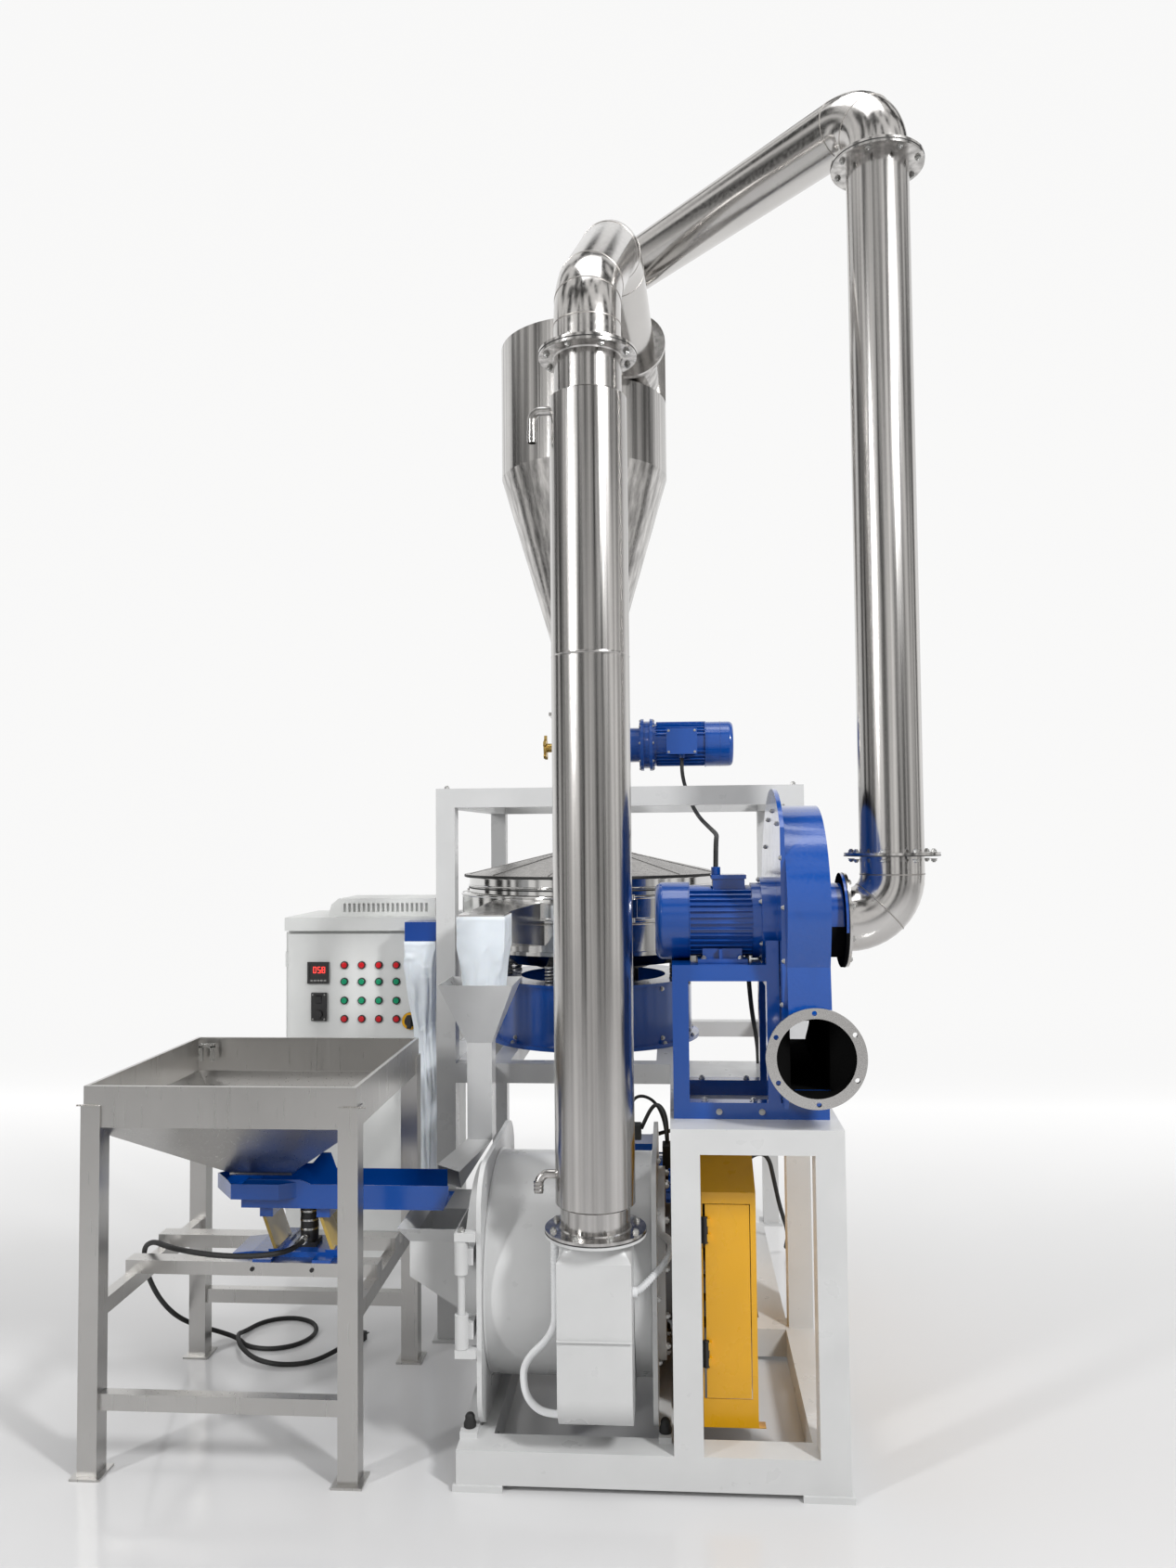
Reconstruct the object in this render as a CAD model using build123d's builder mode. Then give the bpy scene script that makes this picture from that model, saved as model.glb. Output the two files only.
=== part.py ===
from build123d import *
import os
from math import atan2, cos, degrees, pi, radians, sin, tan

# Pulverizer mill with feeder, mill, riser, cyclone, fan, sieve and control cabinet
# Millimetres, +Z up, origin on the floor under the middle of the whole machine
# The front of the machine faces -Y
# Every part is drawn from the layout below and shifted by centre_y when saved

# Sizes used all over
centre_y = 32.0
sheet = 3.0
thin = 2.0
run_gap = 0.3
foot_t = 6.0

# Feeder stand
stand_x = -725.0
stand_y = -620.0
stand_w = 700.0
leg = 50.0
stand_top = 902.0
stand_foot = 76.0
low_rail_z = 160.0
low_rail_h = 40.0
side_rail_z = 370.0
side_rail_h = 40.0
rail_t = 30.0
cross_h = 35.0
cross_w = 50.0
cross_y = (-722.0, -527.0)

# Feed hopper
rim_inset = 5.0
rim_z = 848.0
rim_top = 950.0
rim_lip = 10.0
outlet_x = 172.0
outlet_y = 100.0
outlet_top = 656.0
outlet_bottom = 650.0
outlet_back = 5.0

# Vibrating tray
tray_x0 = -762.0
tray_x1 = -202.0
tray_y = -640.0
tray_w = 156.0
tray_z = 577.0
tray_h = 63.0
hump_h = 12.0
lobe_h = 42.0
lobe_x0 = -628.0
lobe_x1 = -548.0
pan_point = 96.0
pan_w = 200.0
pan_z = 28.0
pan_top = 68.0
tray_block = 27.0
back_cut = 33.0
drive_angle = 20.0

# Feeder base, springs and magnet
base_x0 = -790.0
base_x1 = -500.0
base_w = 130.0
base_h = 14.0
lug_h = 6.0
lug_w = 34.0
spring_x = (-686.0, -531.0)
spring_w = 128.0
spring_t = 9.0
coil_r = 24.0
coil_x = -600.0
coil_gap = 4.0

# Cords
cord_d = 14.0
hose_d = 18.0

# Control cabinet
cab_x0 = -1056.0
cab_x1 = -445.0
cab_front = 473.0
cab_back = 873.0
cab_z0 = 100.0
cab_z1 = 1208.0
cab_wall = 12.0
plinth_in = 12.0
roof_over = -2.0
roof_t = 50.0
vent_x0 = -910.0
vent_x1 = -497.0
vent_h = 66.0
vent_slots = 18
door_t = 18.0
door_edge = 12.0
door_gap = 3.0
hinge_pin = 3.0
pin_gap = 0.06
hinge_z = (180.0, 1080.0)
hinge_l = 40.0
lamp_x = (-828.0, -762.0, -697.0, -631.0)
lamp_z = (1086.0, 1025.0)
button_z = (955.0, 887.0)
collar_r = 14.5
collar_t = 6.0
cap_r = 10.5
cap_out = 11.0
press = 4.0
display_w = 80.0
display_z = 1058.0
display_x = -927.0
controller_w = 57.0
controller_h = 104.0
controller_z = 932.0
controller_x = -923.0
rocker_w = 22.0
rocker_h = 30.0
switch_x = -578.0
switch_z = 880.0

# Mill base and tower
beam = 80.0
beam_z = 15.0
base_left = -137.0
base_right = 796.0
base_front = -967.0
base_rear = 673.0
tower_x0 = 384.0
tower_back = -177.0
post = 70.0
tower_top = 858.0
tower_beam = 60.0
rear_right = 722.0
base_cross = (-60.0, 130.0, 262.0, 411.0)

# Mill
mill_y = -612.0
mill_z = 420.0
drum_r = 280.0
plate_w = 600.0
plate_t = 12.0
plate_left = -95.0
plate_right = 335.0
plate_top = 735.0
plate_round = 100.0
foot_w = 55.0
end_ring_r = 240.0
end_ring_t = 20.0
mill_bore_r = 235.0
mill_door_r = 250.0
mill_door_t = 38.0
hinge_y = -912.0
hinge_x = -132.0
pin_r = 9.0
lug_t = 20.0
lug_low = 290.0
lug_high = 570.0
hinge_reach = 26.0
rotor_r = 205.0
shaft_r = 32.0
mouth_x0 = -325.0
mouth_x1 = -168.0
mouth_y0 = -777.0
mouth_y1 = -440.0
mouth_top = 548.0
mouth_mid = 505.0
bearing_r = 95.0
bearing_l = 96.0

# Drive
pulley_x = 480.0
pulley_w = 78.0
mill_pulley_r = 90.0
motor_pulley_r = 120.0
motor_y = 96.0
motor_z = 335.0
motor_r = 165.0
motor_l = 390.0
guard_x0 = 458.0
guard_x1 = 593.0
guard_front = -829.0
guard_back = 300.0
guard_low = 668.0
guard_high = 770.0
guard_t = 3.0
guard_foot = 97.0
belt_t = 12.0

# Discharge duct and riser
riser_x = 202.0
riser_y = -949.0
riser_r = 84.0
riser_low = 613.0
riser_high = 2755.0
jacket_r = 96.5
jacket_low = 676.0
jacket_high = 2648.0
nozzle_depth = 29.0
nozzle_fall = 79.0
nozzle_reach = 44.5
drain_height = 68.0
drain_fall = 38.0
drain_reach = 39.5
jacket_seam = 1997.0
flange_r = 122.0
flange_t = 8.0
duct_half = 88.0
duct_bottom = 163.0
duct_round = 85.0
duct_square = 560.0

# Cyclone
cyc_x = 95.0
cyc_y = 373.0
cyc_r = 300.0
cyc_low = 2857.0
cyc_top = 3336.0
cone_r = 90.0
cone_low = 2135.0
neck_low = 1996.0
step_z = 3130.0
step_x = 115.0
inlet_x = 274.0
inlet_y = 118.0
inlet_z = 3244.0
crown_x = 240.0
crown_y = -380.0
crown_z = 3338.0
crown_bend = 300.0
mitre_z = 2915.0

# Suction duct and fan
air_r = 82.0
air_z = 3502.0
air_rise = 26.0
air_drop = 159.0
air_flange_z = air_z - air_drop
fan_riser_x = 966.0
fan_y = -717.0
fan_z = 1336.0
fan_riser_low = 1502.0
elbow_bend = 118.0
air_bend = 130.0
fan_x0 = 670.0
fan_x1 = 775.0
fan_r = 288.0
fan_plate_t = 11.0
fan_plate_rim = 45.0
inlet_neck = 62.0
fan_wall = 4.0
outlet_z = 1033.0
outlet_r = 93.0
outlet_front = -1007.0
outlet_box = -927.0
outlet_bolts = 6
outlet_pcd = 212.0
outlet_flange_r = 118.0
outlet_shift = 6.0
outlet_hole = 6.0
fan_base_x0 = 393.0
fan_base_x1 = 775.0
fan_base_y0 = -867.0
fan_base_y1 = -567.0
fan_base_z = 1236.0
fan_rail = 40.0
fan_motor_r = 92.0
fan_motor_x0 = 351.0
fan_motor_x1 = 622.0

# Sieve stand and sieve
ss_x0 = -346.0
ss_x1 = 806.0
ss_y0 = -174.0
ss_y1 = 993.0
ss_tube = 60.0
ss_top = 1713.0
ss_deck = 853.0
ss_back_drop = 48.0
ss_foot = 88.0
sieve_x = 110.0
sieve_y = 373.0
sieve_base_r = 350.0
sieve_base_rim = 375.0
sieve_base_top = 1066.0
spring_r = 22.0
spring_ring = 318.0
spring_count = 8
deck_low = 1127.0
deck_low_r = 345.0
deck_z = 1180.0
deck_r = 440.0
ring_z0 = 1289.0
ring_z1 = 1363.0
ring_reach = 25.0
ring_r = deck_r + ring_reach
cover_z = 1421.0
cover_reach = 16.0
cover_r = deck_r + cover_reach
cover_apex = 1512.0
cover_inlet_r = 80.0
spout_w = 96.0
product_x = -565.0
product_z = 1190.0
neck_l = 110.0
neck_h = 26.0
return_x = -168.0
return_y = -322.0
return_z = 1236.0
return_top = 1330.0
hood_half = 69.0
spout_x0 = -190.0
spout_x1 = 0.0
spout_z0 = 1200.0
spout_z1 = 1352.0

# Rotary valve
valve_z = 1880.0
valve_r = 108.0
valve_x0 = 20.0
valve_x1 = 170.0
valve_flange = 250.0
valve_low = 1725.0
rotor_gap = 0.5
valve_spigot_r = 55.0
spigot_low = 1560.0
gear_x0 = 236.0
gear_x1 = 619.0
gear_r = 80.0
knob_x = -60.0
knob_r = 45.0

# Return funnel and chute
funnel_w = 220.0
funnel_top = 1128.0
funnel_low = 950.0
funnel_pipe = 74.0
funnel_x = -179.0
funnel_y = -322.0
chute_bend = 668.0
chute_x = -248.0
chute_y = -474.0
chute_z = 594.0

os.makedirs("parts", exist_ok=True)


# Shapes used again and again
def block(x0, x1, y0, y1, z0, z1, mode=Mode.ADD):
    with BuildSketch(Plane.XY.offset(z0)) as foot:
        with Locations(((x0 + x1) / 2, (y0 + y1) / 2)):
            Rectangle(x1 - x0, y1 - y0)
    extrude(foot.sketch, amount=z1 - z0, mode=mode)


def rod(base, direction, radius, length, mode=Mode.ADD):
    with BuildSketch(Plane(origin=base, z_dir=direction)) as disc:
        Circle(radius)
    extrude(disc.sketch, amount=length, mode=mode)


def pipe(base, direction, outer, inner, length, mode=Mode.ADD):
    with BuildSketch(Plane(origin=base, z_dir=direction)) as disc:
        Circle(outer)
        Circle(inner, mode=Mode.SUBTRACT)
    extrude(disc.sketch, amount=length, mode=mode)


def profile_x(points, x0, x1, mode=Mode.ADD):
    """A face given by (y, z) points, pushed from x0 to x1."""
    with BuildSketch(Plane(origin=(x0, 0, 0), x_dir=(0, 1, 0), z_dir=(1, 0, 0))) as face:
        with BuildLine():
            Polyline(*points, close=True)
        make_face()
    extrude(face.sketch, amount=x1 - x0, mode=mode)


def profile_y(points, y0, y1, mode=Mode.ADD):
    """A face given by (x, z) points, pushed from y0 to y1."""
    with BuildSketch(Plane(origin=(0, y1, 0), x_dir=(1, 0, 0), z_dir=(0, -1, 0))) as face:
        with BuildLine():
            Polyline(*points, close=True)
        make_face()
    extrude(face.sketch, amount=y1 - y0, mode=mode)


def round_run(points, bends, outer, inner=0.0, mode=Mode.ADD):
    """A round bar or tube along straight runs joined by arcs."""
    with BuildLine() as path:
        if len(points) > 2:
            FilletPolyline(*points, radius=bends)
        else:
            Line(*points)
    with BuildSketch(Plane(origin=path.line @ 0, z_dir=path.line % 0)) as ring:
        Circle(outer)
        if inner:
            Circle(inner, mode=Mode.SUBTRACT)
    sweep(ring.sketch, path=path.line, mode=mode)


def wedge(rect_low, z_low, rect_high, z_high, mode=Mode.ADD):
    """A solid between two rectangles, each given as (x, y, width, depth)."""
    with BuildSketch(Plane.XY.offset(z_low)) as low:
        with Locations((rect_low[0], rect_low[1])):
            Rectangle(rect_low[2], rect_low[3])
    with BuildSketch(Plane.XY.offset(z_high)) as high:
        with Locations((rect_high[0], rect_high[1])):
            Rectangle(rect_high[2], rect_high[3])
    loft([low.sketch.face(), high.sketch.face()], mode=mode)


def save(piece, name):
    shifted = piece.part.moved(Location((0, centre_y, 0)))
    shifted.label = name
    export_step(shifted, "parts/" + name + ".step")


def turns(points):
    """The bend radius at each inner corner of a cord's route."""
    radii = []
    for a, b, c in zip(points, points[1:], points[2:]):
        first = Vector(*b) - Vector(*a)
        second = Vector(*c) - Vector(*b)
        half = radians(first.get_angle(second)) / 2
        radii.append(round(0.45 * min(first.length, second.length) / tan(max(half, 0.02)), 1))
    return radii


# Feeder stand: four legs, foot plates, rails and two cross rails
sx0 = stand_x - stand_w / 2
sx1 = stand_x + stand_w / 2
sy0 = stand_y - stand_w / 2
sy1 = stand_y + stand_w / 2
side_mid = leg / 2
cross_z = side_rail_z + side_rail_h
cross_top = cross_z + cross_h
rim_half = stand_w / 2 - rim_inset
with BuildPart() as feeder_stand:
    for lx in (sx0 + side_mid, sx1 - side_mid):
        for ly in (sy0 + side_mid, sy1 - side_mid):
            block(lx - leg / 2, lx + leg / 2, ly - leg / 2, ly + leg / 2, foot_t, stand_top)
            block(lx - stand_foot / 2, lx + stand_foot / 2, ly - stand_foot / 2, ly + stand_foot / 2, 0, foot_t)
    for ly in (sy0 + side_mid, sy1 - side_mid):
        block(sx0 + leg, sx1 - leg, ly - rail_t / 2, ly + rail_t / 2, low_rail_z, low_rail_z + low_rail_h)
    for lx in (sx0 + side_mid, sx1 - side_mid):
        block(lx - rail_t / 2, lx + rail_t / 2, sy0 + leg, sy1 - leg, side_rail_z, cross_z)
    for cy in cross_y:
        block(sx0 + 10, sx1 - 10, cy - cross_w / 2, cy + cross_w / 2, cross_z, cross_top)
        block(sx0 + 60, sx1 - 60, cy - cross_w / 2 + 4, cy + cross_w / 2 - 4, cross_z, cross_top - 4, Mode.SUBTRACT)
    block(stand_x - rim_half, stand_x + rim_half, stand_y - rim_half, stand_y + rim_half,
          rim_z, stand_top + 1, Mode.SUBTRACT)
    wedge((stand_x, stand_y - outlet_back, outlet_x, outlet_y), outlet_top,
          (stand_x, stand_y, 2 * rim_half, 2 * rim_half), rim_z, Mode.SUBTRACT)
save(feeder_stand, "feeder_stand")

# Feed hopper: square rim and inverted pyramid with an open foot
hop_y = stand_y - outlet_back
rim_w = 2 * rim_half
with BuildPart() as feed_hopper:
    block(stand_x - rim_half, stand_x + rim_half, stand_y - rim_half, stand_y + rim_half, rim_z, rim_top)
    wedge((stand_x, hop_y, outlet_x, outlet_y), outlet_top, (stand_x, stand_y, rim_w, rim_w), rim_z)
    block(stand_x - outlet_x / 2, stand_x + outlet_x / 2, hop_y - outlet_y / 2, hop_y + outlet_y / 2,
          outlet_bottom, outlet_top)
    inner = rim_half - thin
    block(stand_x - inner, stand_x + inner, stand_y - inner, stand_y + inner, rim_z, rim_top - thin, Mode.SUBTRACT)
    opening = rim_half - rim_lip
    block(stand_x - opening, stand_x + opening, stand_y - opening, stand_y + opening,
          rim_top - thin, rim_top, Mode.SUBTRACT)
    wedge((stand_x, hop_y, outlet_x - 2 * sheet, outlet_y - 2 * sheet), outlet_top,
          (stand_x, stand_y, rim_w - 3 * sheet, rim_w - 3 * sheet), rim_z, Mode.SUBTRACT)
    block(stand_x - outlet_x / 2 + sheet, stand_x + outlet_x / 2 - sheet,
          hop_y - outlet_y / 2 + sheet, hop_y + outlet_y / 2 - sheet, outlet_bottom, outlet_top, Mode.SUBTRACT)
save(feed_hopper, "feed_hopper")

# Vibrating tray: trough with a wide pointed pan under the hopper
ty0 = tray_y - tray_w / 2
ty1 = tray_y + tray_w / 2
tray_top = tray_z + tray_h
with BuildPart() as feeder_tray:
    with BuildSketch(Plane.XY.offset(tray_z + pan_z)) as pan:
        with BuildLine():
            Polyline((tray_x0 + 150, ty0), (tray_x0 + 110, tray_y - pan_w / 2), (tray_x0 - 20, tray_y - pan_w / 2),
                     (tray_x0 - pan_point, tray_y), (tray_x0 - 20, tray_y + pan_w / 2),
                     (tray_x0 + 110, tray_y + pan_w / 2), (tray_x0 + 150, ty1), close=True)
        make_face()
    extrude(pan.sketch, amount=pan_top - pan_z)
    with BuildSketch(Plane.XY.offset(tray_z + pan_z + sheet)) as pan_inside:
        offset(pan.sketch_local, amount=-sheet, kind=Kind.INTERSECTION)
    extrude(pan_inside.sketch, amount=pan_top, mode=Mode.SUBTRACT)
    profile_y([(tray_x0, tray_z), (tray_x1 - 14, tray_z), (tray_x1, tray_z + 42), (tray_x1, tray_top),
               (tray_x0 + 190, tray_top), (tray_x0 + 160, tray_top + hump_h), (tray_x0 + 20, tray_top + hump_h),
               (tray_x0, tray_top)], ty0, ty1)
    profile_y([(lobe_x0, tray_top - 1), (lobe_x1, tray_top - 1), (lobe_x1 - 16, tray_top + lobe_h),
               (lobe_x0 + 38, tray_top + lobe_h)], ty1 - sheet, ty1)
    block(tray_x0 + sheet, tray_x1 + 1, ty0 + sheet, ty1 - sheet, tray_z + sheet, tray_z + 200, Mode.SUBTRACT)
    for bx in spring_x:
        block(bx - 30, bx + 6, tray_y - spring_w / 2, tray_y + spring_w / 2, tray_z - tray_block, tray_z)
    block(tray_x1 - back_cut, tray_x1 + 1, ty1 - sheet - 1, ty1 + 1, tray_z + sheet, tray_z + 200, Mode.SUBTRACT)
save(feeder_tray, "feeder_tray")

# Feeder base on the two cross rails
base_top = cross_top + base_h
lug_top = base_top + lug_h
leaf_high = tray_z - tray_block
with BuildPart() as feeder_base:
    profile_y([(base_x0, cross_top), (base_x1, cross_top), (base_x1, base_top), (base_x0 + 55, base_top),
               (base_x0, cross_top + 8)], tray_y - base_w / 2, tray_y + base_w / 2)
    for cy in cross_y:
        for fx in (base_x0 + 70, base_x1 - 60):
            block(fx, fx + 50, cy - cross_w / 2, cy + cross_w / 2, cross_top, cross_top + 8)
    for bx in spring_x:
        block(bx - 6, bx + lug_w - 6, tray_y - spring_w / 2, tray_y + spring_w / 2, base_top, lug_top)
save(feeder_base, "feeder_base")

# Two slanted leaf spring packs
lean = (leaf_high - lug_top) * tan(radians(drive_angle))
with BuildPart() as feeder_springs:
    for bx in spring_x:
        leaf_x = bx + lug_w / 2 - 6
        profile_y([(leaf_x - spring_t / 2, lug_top), (leaf_x + spring_t / 2, lug_top),
                   (leaf_x + spring_t / 2 - lean, leaf_high), (leaf_x - spring_t / 2 - lean, leaf_high)],
                  tray_y - spring_w / 2 + 4, tray_y + spring_w / 2 - 4)
save(feeder_springs, "feeder_springs")

# Drive magnet: yoke and coil with its cord gland
gland_z = base_top + 26
with BuildPart() as feeder_magnet:
    block(coil_x - 32, coil_x + 26, tray_y - 30, tray_y + 30, base_top, base_top + 12)
    rod((coil_x, tray_y, base_top + 12), (0, 0, 1), coil_r, tray_z - coil_gap - base_top - 22)
    rod((coil_x, tray_y, tray_z - coil_gap - 10), (0, 0, 1), coil_r * 0.6, 10)
    rod((coil_x, tray_y - 8, gland_z), (0, -1, 0), 9, 34)
save(feeder_magnet, "feeder_magnet")

# Feeder cord: from the coil over the side rail, down past the rear leg to a ring on the floor
ch = cord_d / 2
cord_y = tray_y - 8 - 34
side_x = sx0 - cord_d - 3
loop_x = sx0 + 225
loop_y = sy1 + 115
loop_r = 118.0
crossing = cord_d + 3
cord_points = [
    (coil_x, cord_y, gland_z), (coil_x, cord_y - 80, gland_z), (coil_x - 60, cord_y - 136, gland_z + 3),
    (coil_x - 160, cord_y - 146, gland_z + 4), (coil_x - 262, cord_y - 112, gland_z),
    (coil_x - 352, cord_y - 60, gland_z - 6), (sx0 + 50, cord_y + 12, gland_z - 16),
    (side_x + 10, cord_y + 72, gland_z - 56), (side_x - 2, cord_y + 116, gland_z - 136),
    (side_x - 4, cord_y + 176, gland_z - 216), (side_x - 4, cord_y + 246, gland_z - 286),
    (side_x - 4, cord_y + 322, gland_z - 346), (side_x + 2, cord_y + 396, gland_z - 396),
    (side_x + 22, cord_y + 456, 50.0), (side_x + 72, cord_y + 486, 22.0),
    (loop_x - 113, loop_y - 51, ch + 2), (loop_x - 73, loop_y - 99, ch)]
for step in range(7):
    angle = radians(-84 + 44 * step)
    cord_points.append((loop_x + loop_r * cos(angle), loop_y + loop_r * sin(angle), ch))
cord_points += [
    (loop_x - 118, loop_y - 52, ch + crossing), (loop_x - 80, loop_y - 134, ch + crossing),
    (loop_x - 12, loop_y - 192, ch + 4), (loop_x + 76, loop_y - 216, ch), (loop_x + 160, loop_y - 196, ch),
    (loop_x + 218, loop_y - 134, ch + 8), (loop_x + 246, loop_y - 64, ch + 8)]
cord_end = cord_points[-1]
cord_bends = turns(cord_points)
print("feeder cord radii", cord_bends)
with BuildPart() as feeder_cord:
    round_run(cord_points, cord_bends, ch)
save(feeder_cord, "feeder_cord")

# Plug on the floor at the end of the cord
plug_way = Vector(*cord_points[-1]) - Vector(*cord_points[-2])
plug_turn = degrees(atan2(plug_way.Y, plug_way.X))
with BuildPart() as feeder_plug:
    with Locations(Location((cord_end[0], cord_end[1], 0), (0, 0, plug_turn))):
        with Locations((27, 0, cord_end[2])):
            Box(54, 36, 27)
        for side in (-9.5, 9.5):
            with Locations((64, side, cord_end[2])):
                Box(20, 6.4, 1.6)
save(feeder_plug, "feeder_plug")

# Control cabinet: plinth, case, roof and vent box
case_front = cab_front + door_t
pin_x = cab_x0 + 5
pin_y = cab_front + 8
with BuildPart() as cabinet_body:
    block(cab_x0 + plinth_in, cab_x1 - plinth_in, cab_front + plinth_in + 6, cab_back - plinth_in, 0, cab_z0)
    block(cab_x0, cab_x1, case_front, cab_back, cab_z0, cab_z1)
    block(cab_x0 + cab_wall, cab_x1 - cab_wall, case_front, cab_back - cab_wall,
          cab_z0 + cab_wall, cab_z1 - cab_wall, Mode.SUBTRACT)
    block(cab_x0 - roof_over, cab_x1 + roof_over, cab_front - 10, cab_back + 4, cab_z1 + 6, cab_z1 + 6 + roof_t)
    block(cab_x0 + 8, cab_x1 - 8, case_front, cab_back - 8, cab_z1, cab_z1 + 6)
    roof_top = cab_z1 + 6 + roof_t
    profile_y([(vent_x0, roof_top), (vent_x1, roof_top), (vent_x1, roof_top + vent_h),
               (vent_x0 + 40, roof_top + vent_h), (vent_x0 + 14, roof_top + vent_h - 22)],
              cab_front + 60, cab_back - 80)
    pitch = (vent_x1 - vent_x0 - 80) / vent_slots
    for slot in range(vent_slots):
        slot_x = vent_x0 + 60 + pitch * slot
        block(slot_x, slot_x + pitch * 0.55, cab_front + 60, cab_front + 72,
              roof_top + vent_h - 50, roof_top + vent_h - 18, Mode.SUBTRACT)
    for hz in hinge_z:
        rod((pin_x, pin_y, hz), (0, 0, 1), hinge_pin, hinge_l + 16)
        block(pin_x - 4, pin_x + 4, pin_y - 4, case_front, hz, hz + 8)
        block(pin_x - 4, pin_x + 4, pin_y - 4, case_front, hz + hinge_l + 8, hz + hinge_l + 16)
save(cabinet_body, "cabinet_body")

# Cabinet door: pan with holes for the push buttons
door_x0 = cab_x0 + door_edge
door_x1 = cab_x1 - door_edge
door_z0 = cab_z0 + door_edge
door_z1 = cab_z1 - 6
with BuildPart() as cabinet_door:
    block(door_x0, door_x1, cab_front, case_front - door_gap, door_z0, door_z1)
    block(door_x0 + 3, door_x1 - 3, cab_front + 3, case_front, door_z0 + 3, door_z1 - 3, Mode.SUBTRACT)
    for bx in lamp_x:
        for bz in button_z:
            rod((bx, cab_front - 1, bz), (0, 1, 0), cap_r + run_gap, door_t, Mode.SUBTRACT)
    for hz in hinge_z:
        low_z = hz + 8 + run_gap
        high_z = hz + hinge_l + 8 - run_gap
        block(pin_x, door_x0 + 2, pin_y - 4, pin_y + 2, low_z, high_z)
        rod((pin_x, pin_y, low_z), (0, 0, 1), hinge_pin + 2, high_z - low_z)
        rod((pin_x, pin_y, low_z), (0, 0, 1), hinge_pin + pin_gap, high_z - low_z, Mode.SUBTRACT)
save(cabinet_door, "cabinet_door")

# Display, controller case, switch plate and button collars on the door
with BuildPart() as panel_instruments:
    block(display_x - display_w / 2, display_x + display_w / 2, cab_front - 10, cab_front,
          display_z - display_w / 2, display_z + display_w / 2)
    block(display_x - display_w / 2 + 8, display_x + display_w / 2 - 8, cab_front - 10, cab_front - 8,
          display_z - 22, display_z + 30, Mode.SUBTRACT)
    block(controller_x - controller_w / 2, controller_x + controller_w / 2, cab_front - 12, cab_front,
          controller_z - controller_h / 2, controller_z + controller_h / 2)
    rocker_z = controller_z + controller_h / 2 - 24
    block(controller_x - rocker_w / 2, controller_x + rocker_w / 2, cab_front - 12, cab_front - 1,
          rocker_z - rocker_h / 2, rocker_z + rocker_h / 2, Mode.SUBTRACT)
    rod((controller_x, cab_front - 12, controller_z - 26), (0, -1, 0), 14, 8)
    rod((switch_x, cab_front, switch_z), (0, -1, 0), 32, 6)
    for bx in lamp_x:
        for bz in lamp_z:
            pipe((bx, cab_front, bz), (0, -1, 0), collar_r, cap_r, collar_t)
        for bz in button_z:
            pipe((bx, cab_front, bz), (0, -1, 0), collar_r, cap_r + run_gap, collar_t)
save(panel_instruments, "panel_instruments")

# Rocker in the controller case
with BuildPart() as controller_rocker:
    gap = 1.2
    profile_x([(cab_front - 4, rocker_z - rocker_h / 2 + gap + 2), (cab_front - 12, rocker_z - rocker_h / 2 + gap),
               (cab_front - 14, rocker_z), (cab_front - 17, rocker_z + rocker_h / 2 - gap - 1),
               (cab_front - 4, rocker_z + rocker_h / 2 - gap - 2)],
              controller_x - rocker_w / 2 + 0.5, controller_x + rocker_w / 2 - 0.5)
save(controller_rocker, "controller_rocker")

# Signal lamps in two rows
with BuildPart() as indicator_lamps:
    for bx in lamp_x:
        for bz in lamp_z:
            rod((bx, cab_front, bz), (0, -1, 0), cap_r, cap_out)
    lens_edges = indicator_lamps.faces().filter_by(Axis.Y).group_by(Axis.Y)[0].edges()
    fillet(lens_edges, 3)
save(indicator_lamps, "indicator_lamps")

# Push buttons: green to start above, red to stop below
for row, (bz, colour) in enumerate(zip(button_z, ("start_button_", "stop_button_"))):
    for column, bx in enumerate(lamp_x):
        with BuildPart() as push_button:
            rod((bx, cab_front + 8, bz), (0, -1, 0), cap_r, cap_out + 8)
            fillet(push_button.faces().sort_by(Axis.Y)[0].edges(), 2)
        save(push_button, colour + str(column + 1))

# Main switch handle
with BuildPart() as main_switch_handle:
    rod((switch_x, cab_front - 6 - run_gap, switch_z), (0, -1, 0), 20, 10)
    block(switch_x - 7, switch_x + 7, cab_front - 34, cab_front - 16, switch_z - 24, switch_z + 24)
save(main_switch_handle, "main_switch_handle")

# Mill base with its tower, all square tube
beam_top = beam_z + beam
tower_right = base_right
with BuildPart() as mill_base:
    for bx in (base_left, tower_x0 + post - beam):
        block(bx, bx + beam, base_front, base_rear, beam_z, beam_top)
    block(base_right - beam, base_right, base_front, tower_back, beam_z, beam_top)
    block(rear_right - beam, rear_right, tower_back - beam, base_rear, beam_z, beam_top)
    block(base_left, base_right, base_front, base_front + beam, beam_z, beam_top)
    block(base_left, base_right, tower_back - beam, tower_back, beam_z, beam_top)
    block(base_left, rear_right, base_rear - beam, base_rear, beam_z, beam_top)
    for by in base_cross:
        block(base_left, rear_right, by, by + beam * 0.75, beam_z + 15, beam_top)
    for fx, fy in ((base_left - 8, base_front - 6), (base_right - 112, base_front - 6),
                   (base_left - 8, base_rear - 109), (rear_right - 112, base_rear - 109)):
        block(fx, fx + 120, fy, fy + 115, 0, beam_z)
    for px in (tower_x0, tower_right - post):
        for py in (base_front, tower_back - post):
            block(px, px + post, py, py + post, beam_top, tower_top)
    for px in (tower_x0, tower_right - post):
        block(px, px + post, base_front, tower_back, tower_top - tower_beam, tower_top)
    for py in (base_front, tower_back - post):
        block(tower_x0, tower_right, py, py + post, tower_top - tower_beam, tower_top)
    block(tower_x0 + 6, tower_right - 6, base_front + 60, tower_back - 60, tower_top - 8, tower_top)
save(mill_base, "mill_base")

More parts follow.
